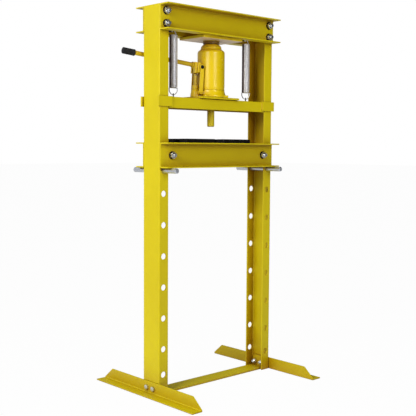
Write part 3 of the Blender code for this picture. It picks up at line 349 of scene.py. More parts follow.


# bright, deep and corner colours, then rough, coat, peel, wear and shine; the corner colour is painted shade
PRESS = ((0.68, 0.56, 0.001), (0.60, 0.465, 0.001), (0.26, 0.075, 0.0), 0.42, 0.0, 0.10, 0.4, 0.28)
JACK = ((0.78, 0.575, 0.001), (0.71, 0.49, 0.001), (0.48, 0.23, 0.0), 0.29, 0.05, 0.13, 0.6, 0.34)
HANDLE = ((0.74, 0.52, 0.001), (0.62, 0.42, 0.001), (0.33, 0.14, 0.0), 0.32, 0.05, 0.10, 1.0, 0.35)
WELD = ((0.66, 0.49, 0.002), (0.52, 0.36, 0.001), (0.24, 0.09, 0.0), 0.46, 0.0, 0.35, 0.6, 0.30)
# the seat cup's colours are a dark brown copy of the paint: painted shade, where the cup sits deep between
# the cap and the plate
SHADED_CUP = ((0.30, 0.17, 0.004), (0.16, 0.075, 0.004), (0.08, 0.025, 0.002), 0.36, 0.0, 0.10, 0.8, 0.35)
PAINT = painted_steel("press_paint", *PRESS)
JACK_PAINT = painted_steel("jack_paint", *JACK)
HANDLE_PAINT = painted_steel("handle_paint", *HANDLE)
WELD_PAINT = painted_steel("weld_paint", *WELD)
SEAT_SHADE = painted_steel("seat_shade_paint", *SHADED_CUP)
ZINC = plated_steel("bright_zinc", rgb(0.80, 0.82, 0.84), rgb(0.60, 0.63, 0.67), 0.26, 0.10)
PIN_STEEL = plated_steel("pin_zinc", rgb(0.76, 0.78, 0.83), rgb(0.60, 0.63, 0.69), 0.30, 0.12)
BLACK = black_steel("blacked_steel")
RUBBER = moulded_rubber("grip_rubber")
GROUND = ground_bar("ground_steel")
PLATE = worn_plate("thrust_plate")


# ---------------------------------------------------------------- placements
def axes(x_axis, y_axis, origin=(0, 0, 0)):
    x = Vector(x_axis).normalized()
    y = Vector(y_axis).normalized()
    matrix = Matrix((x, y, x.cross(y))).transposed().to_4x4()
    matrix.translation = Vector(origin)
    return matrix


def along(direction, origin=(0, 0, 0)):
    matrix = Vector(direction).to_track_quat("Z", "Y").to_matrix().to_4x4()
    matrix.translation = Vector(origin)
    return matrix


def lever_plane(distance, height, side=0.0):
    return LEVER_OUT * distance + LEVER_ACROSS * side + UP * height


# ---------------------------------------------------------------- mesh code
def to_mesh(bm, name):
    mesh = bpy.data.meshes.new(name)
    bmesh.ops.recalc_face_normals(bm, faces=bm.faces)
    bm.to_mesh(mesh)
    bm.free()
    return mesh


def rounded(points, radii, steps=4):
    """The outline with each corner turned into an arc of its own radius."""
    outline = []
    count = len(points)
    for k, (x, y) in enumerate(points):
        corner = Vector((x, y))
        radius = radii[k] if isinstance(radii, (list, tuple)) else radii
        if radius <= 0:
            outline.append(corner)
            continue
        before = (Vector(points[k - 1]) - corner).normalized()
        after = (Vector(points[(k + 1) % count]) - corner).normalized()
        half = before.angle(after) / 2
        start = corner + before * (radius / math.tan(half))
        end = corner + after * (radius / math.tan(half))
        centre = corner + (before + after).normalized() * (radius / math.sin(half))
        first, last = start - centre, end - centre
        turn = first.angle_signed(last)
        for step in range(steps + 1):
            outline.append(centre + Matrix.Rotation(-turn * step / steps, 2) @ first)
    return outline


def prism(name, outline, thickness):
    """A flat outline in local XY, thickened equally up and down local Z."""
    bm = bmesh.new()
    base = [bm.verts.new((x, y, -thickness / 2)) for x, y in outline]
    face = bm.faces.new(base)
    grown = bmesh.ops.extrude_face_region(bm, geom=[face])
    moved = [item for item in grown["geom"] if isinstance(item, bmesh.types.BMVert)]
    bmesh.ops.translate(bm, verts=moved, vec=(0, 0, thickness))
    return to_mesh(bm, name)


def lathe(name, profile, steps=64):
    """Turns (radius, height) points about local Z. A profile off the axis closes into a ring."""
    bm = bmesh.new()
    rings = []
    for radius, height in profile:
        if radius <= 0:
            rings.append([bm.verts.new((0, 0, height))])
            continue
        turns = [math.tau * k / steps for k in range(steps)]
        rings.append([bm.verts.new((radius * math.cos(t), radius * math.sin(t), height)) for t in turns])
    pairs = list(zip(rings, rings[1:]))
    if profile[0][0] > 0 and profile[-1][0] > 0:
        pairs.append((rings[-1], rings[0]))
    for first, second in pairs:
        for k in range(steps):
            corners = [
                first[k % len(first)],
                first[(k + 1) % len(first)],
                second[(k + 1) % len(second)],
                second[k % len(second)],
            ]
            bm.faces.new(list(dict.fromkeys(corners)))
    return to_mesh(bm, name)


def sweep(name, points, radius, sides=10, closed=False):
    """A round bar along a path, with flat ends. The radius may be a number or one for each point."""
    path = [Vector(point) for point in points]
    count = len(path)
    bm = bmesh.new()
    rings = []
    across = None
    for k, point in enumerate(path):
        ahead = path[(k + 1) % count] if closed or k + 1 < count else point
        behind = path[k - 1] if closed or k > 0 else point
        forward = (ahead - behind).normalized()
        if across is None:
            across = forward.orthogonal().normalized()
        across = (across - forward * across.dot(forward)).normalized()
        other = forward.cross(across)
        size = radius[k] if isinstance(radius, (list, tuple)) else radius
        ring = []
        for side in range(sides):
            turn = math.tau * side / sides
            ring.append(bm.verts.new(point + (across * math.cos(turn) + other * math.sin(turn)) * size))
        rings.append(ring)
    pairs = list(zip(rings, rings[1:]))
    if closed:
        pairs.append((rings[-1], rings[0]))
    for first, second in pairs:
        for side in range(sides):
            nxt = (side + 1) % sides
            bm.faces.new((first[side], first[nxt], second[nxt], second[side]))
    if not closed:
        bm.faces.new(rings[0])
        bm.faces.new(rings[-1])
    return to_mesh(bm, name)


def slab(name, size, edge, segments=3):
    """A block with every edge rounded."""
    bm = bmesh.new()
    bmesh.ops.create_cube(bm, size=1.0, matrix=Matrix.Diagonal((*size, 1.0)))
    bmesh.ops.bevel(bm, geom=bm.edges[:], offset=edge, segments=segments, affect="EDGES", profile=0.5)
    return to_mesh(bm, name)


def rods(name, bars, sides=40):
    """Round bars in one mesh. Each is (placement, radius, length), centred on its placement."""
    bm = bmesh.new()
    for matrix, radius, length in bars:
        bmesh.ops.create_cone(
            bm, cap_ends=True, segments=sides, radius1=radius, radius2=radius, depth=length, matrix=matrix
        )
    return to_mesh(bm, name)


# ---------------------------------------------------------------- piece helpers
def placed(name, mesh, place=None):
    """A new object whose placement is worked into its mesh, so that it sits at the origin."""
    if place is not None:
        mesh.transform(place)
    piece = bpy.data.objects.new(name, mesh)
    bpy.context.scene.collection.objects.link(piece)
    return piece


def settle(piece):
    """Works the piece's modifiers into its mesh."""
    bpy.context.view_layer.update()
    seen = piece.evaluated_get(bpy.context.evaluated_depsgraph_get())
    mesh = bpy.data.meshes.new_from_object(seen)
    old = piece.data
    piece.modifiers.clear()
    piece.data = mesh
    bpy.data.meshes.remove(old)


def combine(piece, tool_mesh, operation="DIFFERENCE", place=None):
    """Cuts, joins or trims the piece with a tool mesh, which is used up."""
    tool = placed(piece.name + "_tool", tool_mesh, place)
    modifier = piece.modifiers.new("combine", "BOOLEAN")
    modifier.operation = operation
    modifier.solver = "EXACT"
    modifier.object = tool
    settle(piece)
    bpy.data.objects.remove(tool, do_unlink=True)
    bpy.data.meshes.remove(tool_mesh)


def soften(piece, width, segments=2, angle=38):
    modifier = piece.modifiers.new("soften", "BEVEL")
    modifier.width = width
    modifier.segments = segments
    modifier.limit_method = "ANGLE"
    modifier.angle_limit = math.radians(angle)
    settle(piece)


def cast_skin(piece, voxel, rounds):
    """Gives a joined shape the soft corners of a sand casting."""
    remesh = piece.modifiers.new("skin", "REMESH")
    remesh.mode = "VOXEL"
    remesh.voxel_size = voxel
    smooth = piece.modifiers.new("soft", "SMOOTH")
    smooth.factor = 0.5
    smooth.iterations = rounds
    settle(piece)
    piece.data.shade_smooth()

def chamfered(radius, high, low, cut, bore=0.0):
    """The profile of a turned bar or tube with both outer edges cut back."""
    top = [(bore, high), (radius - cut, high), (radius, high - cut)]
    return top + [(radius, low + cut), (radius - cut, low), (bore, low)]


def show(piece, material, body, nodes=(), smooth=35, weighted=True, slot=None):
    """Shades the piece, gives it its look, and hangs it on its CAD body in place of CAD nodes."""
    piece.data.materials.clear()
    piece.data.materials.append(material)
    piece.data.shade_smooth()
    piece.data.set_sharp_from_angle(angle=math.radians(smooth))
    if weighted:
        normals = piece.modifiers.new("normals", "WEIGHTED_NORMAL")
        normals.keep_sharp = True
    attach(piece, body)
    if nodes:
        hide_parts(*nodes)


def turned(name, profile, steps, place, material, body, nodes=(), **shading):
    """A piece that is only a turned profile."""
    show(placed(name, lathe(name, profile, steps), place), material, body, nodes, **shading)


# ---------------------------------------------------------------- rolled sections
def channel_outline(web, flange):
    """A channel's section: the web on local Y, the flanges along +X, rolled corners."""
    half = web / 2
    points = [
        (0, -half),
        (flange, -half),
        (flange, -half + WALL),
        (WALL, -half + WALL),
        (WALL, half - WALL),
        (flange, half - WALL),
        (flange, half),
        (0, half),
    ]
    radii = [CORNER, TIP, TIP, FILLET, FILLET, TIP, TIP, CORNER]
    return rounded(points, radii)


def drilled_section(name, outline, length, place, holes):
    piece = placed(name, prism(name, outline, length), place)
    combine(piece, rods(name + "_holes", holes))
    soften(piece, CUT_EDGE)
    return piece


def foot_bolt_holes(*sides):
    nodes = ["foot_bolt_" + side + "_" + end for side in sides for end in ENDS]
    return [(along(X_AXIS, middle(node)), FOOT_HOLE, 0.06) for node in nodes]


def column_holes(side):
    """Pin holes, beam bolt holes and foot bolt holes, placed by the CAD nodes that fill them."""
    pin_x = middle("bed_pin_" + side).x
    spots = [(pin_x, 0, z) for z in PIN_ROWS]
    bolts = [middle("top_bolt_" + side + "_" + level) for level in LEVELS]
    holes = [(along(Y_AXIS, spot), PIN_HOLE, THROUGH) for spot in spots]
    holes += [(along(Y_AXIS, spot), BOLT_HOLE, THROUGH) for spot in bolts]
    return holes + foot_bolt_holes(side)


def build_columns():
    for side, side_name in SIDES:
        name = "column_" + side_name
        low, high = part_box(name)
        web_x = low.x if side < 0 else high.x
        place = axes((-side, 0, 0), (0, -side, 0), (web_x, 0, (low.z + high.z) / 2))
        outline = channel_outline(high.y - low.y, high.x - low.x)
        holes = column_holes(side_name)
        piece = drilled_section(name + "_steel", outline, high.z - low.z, place, holes)
        show(piece, PAINT, "frame", [name])


def build_outward_channel(node, bolts, body):
    """A beam or bed channel along X, with its flanges pointing away from the columns."""
    low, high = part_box(node)
    facing = -1 if low.y < 0 else 1
    web_y = high.y if facing < 0 else low.y
    place = axes((0, facing, 0), (0, 0, facing), (0, web_y, (low.z + high.z) / 2))
    outline = channel_outline(high.z - low.z, high.y - low.y)
    centres = [middle(bolt) for bolt in bolts]
    holes = [(along(Y_AXIS, (spot.x, web_y, spot.z)), BOLT_HOLE, 0.04) for spot in centres]
    piece = drilled_section(node + "_steel", outline, high.x - low.x, place, holes)
    show(piece, PAINT, body, [node])


def build_carriage_channel():
    low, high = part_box("carriage_channel")
    place = axes((0, 0, -1), Y_AXIS, (0, 0, high.z))
    outline = channel_outline(high.y - low.y, high.z - low.z)
    eyes = [middle("spring_eye_" + side).x for _, side in SIDES]
    holes = [(Matrix.Translation((x, 0, high.z)), EYE_HOLE, 0.03) for x in eyes]
    piece = drilled_section("carriage_channel_steel", outline, high.x - low.x, place, holes)
    show(piece, PAINT, "carriage", ["carriage_channel"])


def build_feet():
    """Angle sections whose upright legs are cut off at a slope towards both ends."""
    for side, side_name in SIDES:
        node = "foot_" + side_name
        low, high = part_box(node)
        leg = high.z - low.z
        half = (high.y - low.y) / 2
        points = [(0, 0), (leg, 0), (leg, WALL), (WALL, WALL), (WALL, leg), (0, leg)]
        outline = rounded(points, [0.0015, TIP, TIP, FILLET, TIP, TIP])
        heel = (high.x if side < 0 else low.x, 0, 0)
        name = node + "_angle"
        piece = placed(name, prism(name, outline, 2 * half), axes((side, 0, 0), (0, 0, 1), heel))
        cut, land, over, clear = 0.050, WALL + 0.003, 0.002, 0.020
        slope = (leg - land) / cut
        corner = [
            (half - cut - over, leg + slope * over),
            (half + over, land - slope * over),
            (half + clear, land - slope * over),
            (half + clear, leg + clear),
            (half - cut - over, leg + clear),
        ]
        for end in (-1, 1):
            combine(piece, prism("corner", corner, 0.040), place=axes((0, end, 0), (0, 0, 1), heel))
        combine(piece, rods("bolt_holes", foot_bolt_holes(side_name)))
        soften(piece, CUT_EDGE)
        show(piece, PAINT, "frame", [node])


def build_strut():
    """A flat bar bent up at both ends, with bend radii, rounded tab corners and bolt holes."""
    low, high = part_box("floor_strut")
    reach, height, width = high.x, high.z, high.y - low.y
    thick = 0.008
    inner = reach - thick
    right = [(reach, 0), (reach, height), (inner, height), (inner, thick)]
    points = [(-reach, 0)] + right + [(-x, z) for x, z in right[:0:-1]]
    radii = [0.010, 0.010, TIP / 2, TIP / 2, 0.003, 0.003, TIP / 2, TIP / 2]
    piece = placed("floor_strut_bar", prism("floor_strut_bar", rounded(points, radii, 6), width))
    piece.data.transform(axes(X_AXIS, (0, 0, 1)))
    half, below = width / 2, -0.02
    tab = rounded([(-half, below), (half, below), (half, height), (-half, height)], [0, 0, 0.015, 0.015], 8)
    long = 0.800  # reaches past both tabs
    combine(piece, prism("tab", tab, long), "INTERSECT", axes(Y_AXIS, (0, 0, 1)))
    combine(piece, rods("bolt_holes", foot_bolt_holes("left", "right")))
    soften(piece, CUT_EDGE)
    show(piece, PAINT, "frame", ["floor_strut"])


def build_plates():
    straps = ["guide_strap_" + side + "_" + end for _, side in SIDES for end in ENDS]
    plates = [("top_press_plate", "frame", 0.0022, PLATE)]
    plates += [(node, "carriage", 0.0010, PAINT) for node in ["jack_plate"] + straps]
    for node, body, edge, look in plates:
        piece = placed(node + "_flat", slab(node, extent(node), edge), Matrix.Translation(middle(node)))
        show(piece, look, body, [node])


def build_weld(name, start, end, size, body, ripple=0.0042):
    """A weld bead: overlapping scales along a line, sunk into the corner it fills."""
    start, end = Vector(start), Vector(end)
    length = (end - start).length
    count = max(8, int(length / 0.0009))
    points, radii = [], []
    for k in range(count + 1):
        share = k / count
        scale = abs(math.sin(math.pi * share * length / ripple))
        taper = min(1.0, 0.35 + 6.0 * min(share, 1 - share))
        wander = RANDOM.uniform(-0.05, 0.05)
        radii.append(size * taper * (0.86 + 0.14 * scale + wander))
        points.append(start.lerp(end, share))
    piece = placed(name, sweep(name, points, radii, 12))
    show(piece, WELD_PAINT, body, smooth=60, weighted=False)


def build_weld_ring(name, radius, z, bead, ripple, body):
    turns = [math.tau * k / 60 for k in range(60)]
    points = [(radius * math.cos(t), radius * math.sin(t), z) for t in turns]
    sizes = [bead * (1 - ripple + ripple * abs(math.sin(9 * t))) for t in turns]
    ring = placed(name, sweep(name, points, sizes, 10, True))
    show(ring, WELD_PAINT, body, smooth=60, weighted=False)


def build_welds():
    channel_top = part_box("carriage_channel")[1]
    for side, side_name in SIDES:
        for facing, facing_name in FACINGS:
            label = "strap_" + side_name + "_" + facing_name
            low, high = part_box("guide_" + label)
            inner_x = high.x if side < 0 else low.x
            start, end = [(inner_x, facing * channel_top.y, z) for z in (low.z + 0.003, high.z - 0.003)]
            build_weld("weld_" + label, start, end, BEAD, "carriage")
    plate_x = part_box("jack_plate")[1].x
    for side, side_name in SIDES:
        for y, part in ((-0.028, "a"), (0.028, "b")):
            start, end = [(side * plate_x, y + reach, channel_top.z) for reach in (-0.014, 0.014)]
            build_weld("weld_jack_plate_" + side_name + "_" + part, start, end, BEAD, "carriage")
    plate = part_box("top_press_plate")[1]
    for facing, facing_name in FACINGS:
        for x, reach, part in ((-0.073, 0.033, "a"), (0.013, 0.010, "b"), (0.086, 0.020, "c")):
            y, z = facing * (plate.y - 0.0004), plate.z - 0.0002
            name = "weld_press_plate_" + facing_name + "_" + part
            build_weld(name, (x - reach, y, z), (x + reach, y, z), BEAD * 1.1, "frame")
    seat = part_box("ram_seat_ring")[1]
    build_weld_ring("weld_seat_ring", seat.x - 0.0002, seat.z, BEAD, 0.15, "frame")
    pin_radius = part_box("press_pin")[1].x
    build_weld_ring("weld_press_pin", pin_radius, channel_top.z - WALL, 0.0024, 0.0, "carriage")


# ---------------------------------------------------------------- fasteners
def thread_profile(radius, start, end, pitch=THREAD_PITCH):
    """(radius, height) points of a thread's crests and roots, from start down to end."""
    count = int(abs(start - end) / pitch)
    points = [(radius - 0.0015, start), (radius - 0.0003, start - 0.0013)]
    for k in range(1, count):
        height = start - 0.0013 - k * pitch
        if height < end + pitch * 0.4:
            break
        points.append((radius - 0.0011, height + pitch * 0.5))
        points.append((radius, height + pitch * 0.08))
        points.append((radius, height - pitch * 0.08))
    return points


def hexagon_solid(name, across, height, bore=0.0, both=False):
    """A hexagon with turned-off corners on its top, or on both faces, and an optional bore."""
    corner = across / math.sqrt(3)
    turns = [math.radians(30 + 60 * k) for k in range(6)]
    piece = placed(name, prism(name, [(corner * math.cos(t), corner * math.sin(t)) for t in turns], height))
    half = height / 2
    land = across * 0.475
    drop = (corner - land) * 0.55
    profile = [(0, half), (land, half), (corner + 0.0004, half - drop)]
    if both:
        profile += [(corner + 0.0004, -half + drop), (land, -half), (0, -half)]
    else:
        profile += [(corner + 0.0004, -half), (0, -half)]
    combine(piece, lathe(name + "_turned", profile, 48), "INTERSECT")
    if bore:
        sink = bore + 0.0012
        tool = [(0, half + 0.001), (sink, half + 0.001), (sink, half), (bore, half - 0.0012)]
        tool += [(bore, -half + 0.0012), (sink, -half), (sink, -half - 0.001), (0, -half - 0.001)]
        combine(piece, lathe(name + "_bore", tool, 40))
    soften(piece, 0.0003, 2, 30)
    return piece


def hexagon_ring(name, across, height, bore):
    return hexagon_solid(name, across, height, bore, True)


def build_bolt(label, bolt_node, nut_node, direction, body, across, head, shank, nut):
    """Head, threaded shank and nut of one bolt, head first; a nut with its own node gets a washer."""
    direction = Vector(direction)
    reach = abs(extent(bolt_node).dot(direction))
    start = middle(bolt_node) - direction * reach / 2
    place = along(direction, start)
    if nut_node:
        nut_start = (middle(nut_node) - start).dot(direction) - nut / 2
    else:
        nut_start = reach - BOLT_END - nut
    plain = nut_start - THREAD_BEFORE_NUT

    bolt = hexagon_solid(label + "_bolt", across, head)
    bolt.data.transform(Matrix.Rotation(math.pi, 4, "X"))
    bolt.data.transform(Matrix.Translation((0, 0, head / 2)))
    profile = [(0, reach)] + thread_profile(shank, reach, plain)
    profile += [(shank, plain), (shank, head * 0.5), (0, head * 0.5)]
    combine(bolt, lathe(label + "_shank", profile, 32), "UNION")
    bolt.data.transform(place)
    show(bolt, ZINC, body, [bolt_node])

    gap = WASHER + 0.0003 if nut_node else 0.0
    piece = hexagon_ring(label + "_nut", across, nut - gap, shank + 0.0002)
    piece.data.transform(place @ Matrix.Translation((0, 0, nut_start + gap + (nut - gap) / 2)))
    show(piece, ZINC, body, [nut_node] if nut_node else ())
    if nut_node:
        profile = chamfered(across * 0.66, WASHER, 0, 0.0005, shank + 0.0006)
        washer_place = place @ Matrix.Translation((0, 0, nut_start))
        turned(label + "_washer", profile, 48, washer_place, BLACK, body)


def build_fasteners():
    pairs = []
    for _, side in SIDES:
        for level in LEVELS:
            tag = side + "_" + level
            pairs.append(("beam_" + tag, "top_bolt_" + tag, "top_nut_" + tag, "frame"))
        pairs.append(("bed_" + side, "bed_bolt_" + side, "bed_nut_" + side, "bed"))
    for label, bolt_node, nut_node, body in pairs:
        build_bolt(label, bolt_node, nut_node, (0, -1, 0), body, *LARGE_BOLT)
    for side, side_name in SIDES:
        for end in ENDS:
            tag = side_name + "_" + end
            build_bolt("foot_" + tag, "foot_bolt_" + tag, None, (-side, 0, 0), "frame", *FOOT_BOLT)


def build_bed_details():
    for _, side in SIDES:
        node = "bed_spacer_" + side
        size = extent(node)
        profile = chamfered(size.x / 2, size.y / 2, -size.y / 2, 0.0006, 0.0084)
        turned("bed_spacer_tube_" + side, profile, 40, along(Y_AXIS, middle(node)), ZINC, "bed", [node])

        node = "bed_pin_" + side
        size = extent(node)
        radius, half, chamfer, land = size.z / 2, size.y / 2, 0.0018, 0.0003
        end = [(0, half), (radius - chamfer - land, half), (radius - chamfer, half - land)]
        end.append((radius, half - chamfer))
        profile = end + [(r, -y) for r, y in reversed(end)]
        place = along(Y_AXIS, middle(node))
        turned("bed_pin_bar_" + side, profile, 48, place, PIN_STEEL, "pin_" + side, [node])

    for side, side_name in SIDES:
        node = "arbor_plate_" + side_name
        low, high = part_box(node)
        inner = high.x if side < 0 else low.x
        length, width, thick = extent(node)
        depth, slot, vee = 0.032, 0.038, 0.034
        points = [(depth, slot / 2), (depth, -slot / 2), (0, -slot / 2), (0, -width / 2)]
        points += [(length, -width / 2), (length, -vee / 2), (length - vee / 2, 0), (length, vee / 2)]
        points += [(length, width / 2), (0, width / 2), (0, slot / 2)]
        radii = [0.003, 0.003, 0.0, 0.002, 0.002, 0.0, 0.001, 0.0, 0.002, 0.002, 0.0]
        place = axes((side, 0, 0), (0, side, 0), (inner, 0, (low.z + high.z) / 2))
        plate = placed(node + "_cut", prism(node, rounded(points, radii, 5), thick), place)
        soften(plate, 0.0012, 3)
        show(plate, BLACK, "arbor_" + side_name, [node])


# ---------------------------------------------------------------- springs
def ring_points(centre, radius, start, end, steps, plane="XZ"):
    points = []
    for k in range(steps + 1):
        turn = math.radians(start + (end - start) * k / steps)
        a, b = radius * math.cos(turn), radius * math.sin(turn)
        offset = (a, 0, b) if plane == "XZ" else (0, a, b)
        points.append(Vector(centre) + Vector(offset))
    return points


def smooth_path(points, rounds=2):
    """Cuts the corners of an open path, keeping its ends."""
    for _ in range(rounds):
        finer = [points[0]]
        for first, second in zip(points, points[1:]):
            finer.append(first.lerp(second, 0.25))
            finer.append(first.lerp(second, 0.75))
        finer.append(points[-1])
        points = finer
    return points


def spring_path(x, radius, wire, hanger, eye_centre):
    """The centre line of the wire: lower hook, close coils, upper hook."""
    pitch, steps = 0.00352, 28
    top, bottom = 1.436, 1.2275
    coil = []
    for k in range(int((top - bottom) / pitch) * steps + 1):
        turn = math.tau * k / steps
        z = bottom + pitch * k / steps
        coil.append(Vector((x + radius * math.cos(turn), radius * math.sin(turn), z)))
    hook_low_z = eye_centre.z + EYE_RING - EYE_WIRE - wire - 0.0004
    wide = radius + 0.0012
    deep = bottom - 0.006 - hook_low_z
    lower = []
    for k in range(29):
        turn = math.radians(14 - 208 * k / 28)
        sideways = HOOK_ACROSS * (wide * math.cos(turn))
        lower.append(Vector((x, 0, hook_low_z + deep * (1 + math.sin(turn)))) + sideways)
    rise = []
    for k in range(9):
        turn = HOOK_TURN * (1 - k / 9)
        spot = Vector((x + radius * math.cos(turn), radius * math.sin(turn), 0))
        rise.append(spot + UP * (bottom - 0.0014 - 0.0036 * (1 - k / 9)))
    lead_out = [(0.96, top + 0.0010), (0.80, hanger.z - 0.011)]
    lead_out = [Vector((x + radius * share, 0, z)) for share, z in lead_out]
    hook_high = ring_points((hanger.x, 0, hanger.z), 0.0072, -25, 215, 22)
    finish = lead_out + hook_high + [hook_high[-1] + Vector((0.0005, 0, -0.0035))]
    return smooth_path(lower[::-1] + rise, 1) + coil + smooth_path(finish, 1)


def build_eye_bolt(side, x, eye_centre):
    node = "spring_eye_" + side
    ring = ring_points((0, 0, 0), EYE_RING, 0, 360, 40, "YZ")[:-1]
    ring_plane = Matrix.Rotation(HOOK_TURN, 3, "Z")
    ring = [eye_centre + ring_plane @ point for point in ring]
    eye = placed("spring_eyebolt_" + side, sweep("eye", ring, EYE_WIRE, 14, True))
    stem_top, stem_low = eye_centre.z - EYE_RING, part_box(node)[0].z
    length = stem_top - stem_low
    profile = [(0, length / 2), (EYE_WIRE * 0.98, length / 2)]
    count = 16
    for k in range(count):
        height = length / 2 - length * 0.5 - (k + 0.5) * (length * 0.48 / count)
        profile.append((EYE_WIRE * (0.98 if k % 2 else 0.86), height))
    profile += [(EYE_WIRE * 0.7, -length / 2), (0, -length / 2)]
    stem_place = Matrix.Translation((x, 0, (stem_top + stem_low) / 2))
    combine(eye, lathe("stem", profile, 20), "UNION", stem_place)
    show(eye, BLACK, "carriage", [node], smooth=50, weighted=False)


def build_springs():
    """Close-wound extension springs with machine hooks, hung between a rod and an eye bolt."""
    wire = 0.0017
    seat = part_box("carriage_channel")[1].z
    for _, side in SIDES:
        node, rod_node = "spring_" + side, "spring_hanger_" + side
        x = middle(node).x
        radius = extent(node).x / 2 - wire - 0.0004
        hanger = middle(rod_node)
        eye_centre = Vector((x, 0, seat + EYE_RING + EYE_WIRE + 0.0034))
        name = node + "_coil"
        piece = placed(name, sweep(name, spring_path(x, radius, wire, hanger, eye_centre), wire, 8))
        piece.data.materials.append(spring_wire("spring_wire_" + side, x, radius + wire))
        piece.data.shade_smooth()
        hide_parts(node)
        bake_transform(piece)

        rod = extent(rod_node)
        profile = chamfered(rod.z / 2, rod.y / 2, -rod.y / 2, 0.0006)
        turned("spring_rod_" + side, profile, 28, along(Y_AXIS, hanger), BLACK, "frame", [rod_node])
        build_eye_bolt(side, x, eye_centre)
        for place_name, z in (("top", seat), ("bottom", seat - WALL - 0.0042)):
            nut = hexagon_ring("eye_nut_" + side + "_" + place_name, 0.009, 0.004, EYE_WIRE + 0.0001)
            nut.data.transform(Matrix.Translation((x, 0, z + 0.0021)))
            show(nut, BLACK, "carriage")


# ---------------------------------------------------------------- jack
def build_press_pin_and_seat():
    low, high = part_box("press_pin")
    radius, chamfer, land = high.x, 0.0022, 0.0004
    profile = [(0, high.z), (radius, high.z), (radius, low.z + chamfer + 0.0005)]
    profile += [(radius - land, low.z + chamfer), (radius - chamfer, low.z + land)]
    profile += [(radius - chamfer - 0.0005, low.z), (0, low.z)]
    turned("press_pin_bar", profile, 64, None, PAINT, "carriage", ["press_pin"], smooth=30)

    low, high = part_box("ram_seat_ring")
    outer, inner, edge = high.x, 0.026, 0.0008
    profile = [(inner, high.z), (outer, high.z), (outer, low.z + 2 * edge)]
    profile += [(outer - 0.4 * edge, low.z + 0.6 * edge), (outer - 1.4 * edge, low.z)]
    profile += [(inner + edge, low.z), (inner, low.z + edge)]
    turned("ram_seat_cup", profile, 64, None, SEAT_SHADE, "frame", ["ram_seat_ring"], smooth=30)


def arc_profile(centre, radius, start, end, steps):
    turns = [math.radians(start + (end - start) * k / steps) for k in range(steps + 1)]
    return [(centre[0] + radius * math.cos(t), centre[1] + radius * math.sin(t)) for t in turns]


def build_reservoir():
    low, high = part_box("jack_reservoir")
    outer, top, bottom = high.x, high.z, low.z
    shoulder, neck, inner = top - 0.0245, 0.0424, 0.038
    profile = [(inner, top), (neck - 0.0008, top), (neck, top - 0.0006), (neck + 0.0012, top - 0.0085)]
    profile += arc_profile((outer - 0.0120, shoulder), 0.0120, 48, 0, 10)
    profile += [(outer, bottom + 0.010), (outer - 0.0004, bottom + 0.0075), (outer - 0.0010, bottom + 0.0045)]
    profile += [(outer, bottom + 0.0032), (outer, bottom + 0.0006), (outer - 0.0006, bottom)]
    profile += [(outer - 0.004, bottom), (outer - 0.004, shoulder), (inner, shoulder + 0.014)]
    body = placed("jack_reservoir_shell", lathe("jack_reservoir_shell", profile, 96))
    plug = middle("filler_plug")
    plug_out = Vector((plug.x, plug.y, 0)).normalized()
    combine(body, rods("plug_hole", [(along(plug_out, plug), 0.0050, 0.020)], 32))
    show(body, JACK_PAINT, "carriage", ["jack_reservoir"], smooth=28)

    stem = extent("filler_plug").z / 2
    profile = [(0, 0.0032), (stem * 0.55, 0.0032), (stem * 0.9, 0.0024), (stem * 1.15, 0.0010)]
    profile += [(stem * 1.15, 0.0002), (stem, 0.0), (stem * 0.9, -0.0012), (stem, -0.0024)]
    profile += [(stem * 0.85, -0.0046), (0, -0.0046)]
    place = along(plug_out, plug_out * (outer - 0.0002) + UP * plug.z)
    looks = {"smooth": 40, "slot": "rubber"}
    turned("filler_plug_cap", profile, 32, place, JACK_PAINT, "carriage", ["filler_plug"], **looks)


def build_jack_top():
    """The cap nut with its spanner notches, the wiper seal, the ram and the inner cylinder."""
    low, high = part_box("jack_cap")
    base, peak, width = low.z, high.z, high.x
    bore = 0.0231
    profile = [(bore, peak - 0.0012), (bore + 0.0012, peak), (0.0318, peak), (0.0334, peak - 0.0006)]
    profile += [(width - 0.0016, base + 0.0036), (width - 0.0004, base + 0.0022), (width, base + 0.0010)]
    profile += [(width - 0.0006, base), (bore, base)]
    cap = placed("jack_cap_nut", lathe("jack_cap_nut", profile, 96))
    for k in range(6):
        turn = math.radians(12 + 60 * k)
        out = Vector((math.cos(turn), math.sin(turn), 0))
        place = axes(out, UP.cross(out), out * (width * 0.955 + 0.003) + UP * (base + 0.0085))
        combine(cap, slab("spanner_notch", (0.0060, 0.0110, 0.0120), 0.0008), place=place)
    soften(cap, 0.0004, 2, 30)
    show(cap, JACK_PAINT, "carriage", ["jack_cap"], smooth=32)

    wiper = [(0.0229, peak + 0.0012), (0.0250, peak + 0.0010), (0.0262, peak + 0.0001)]
    wiper += [(0.0262, peak - 0.001), (0.0229, peak - 0.001)]
    turned("ram_wiper_seal", wiper, 64, None, RUBBER, "carriage", smooth=40)

    low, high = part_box("jack_ram")
    piston, radius, groove = high.x, 0.0225, 0.0016
    profile = [(0, high.z), (radius - 0.003, high.z), (radius - 0.0006, high.z - 0.0016)]
    profile += [(radius, high.z - 0.003), (radius, low.z + 0.0205)]
    profile += [(piston, low.z + 0.020), (piston, low.z + 0.014)]
    profile += [(piston - groove, low.z + 0.013), (piston - groove, low.z + 0.009), (piston, low.z + 0.008)]
    profile += [(piston, low.z + 0.001), (piston - 0.001, low.z), (0, low.z)]
    turned("jack_ram_bar", profile, 64, None, GROUND, "ram", ["jack_ram"], smooth=30)

    low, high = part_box("jack_cylinder")
    bore, edge = 0.028, 0.001
    profile = [(bore, high.z - edge)] + chamfered(high.x, high.z, low.z, edge, bore)
    profile[1] = (bore + edge, high.z)
    turned("jack_cylinder_tube", profile, 48, None, GROUND, "carriage", ["jack_cylinder"], smooth=30)


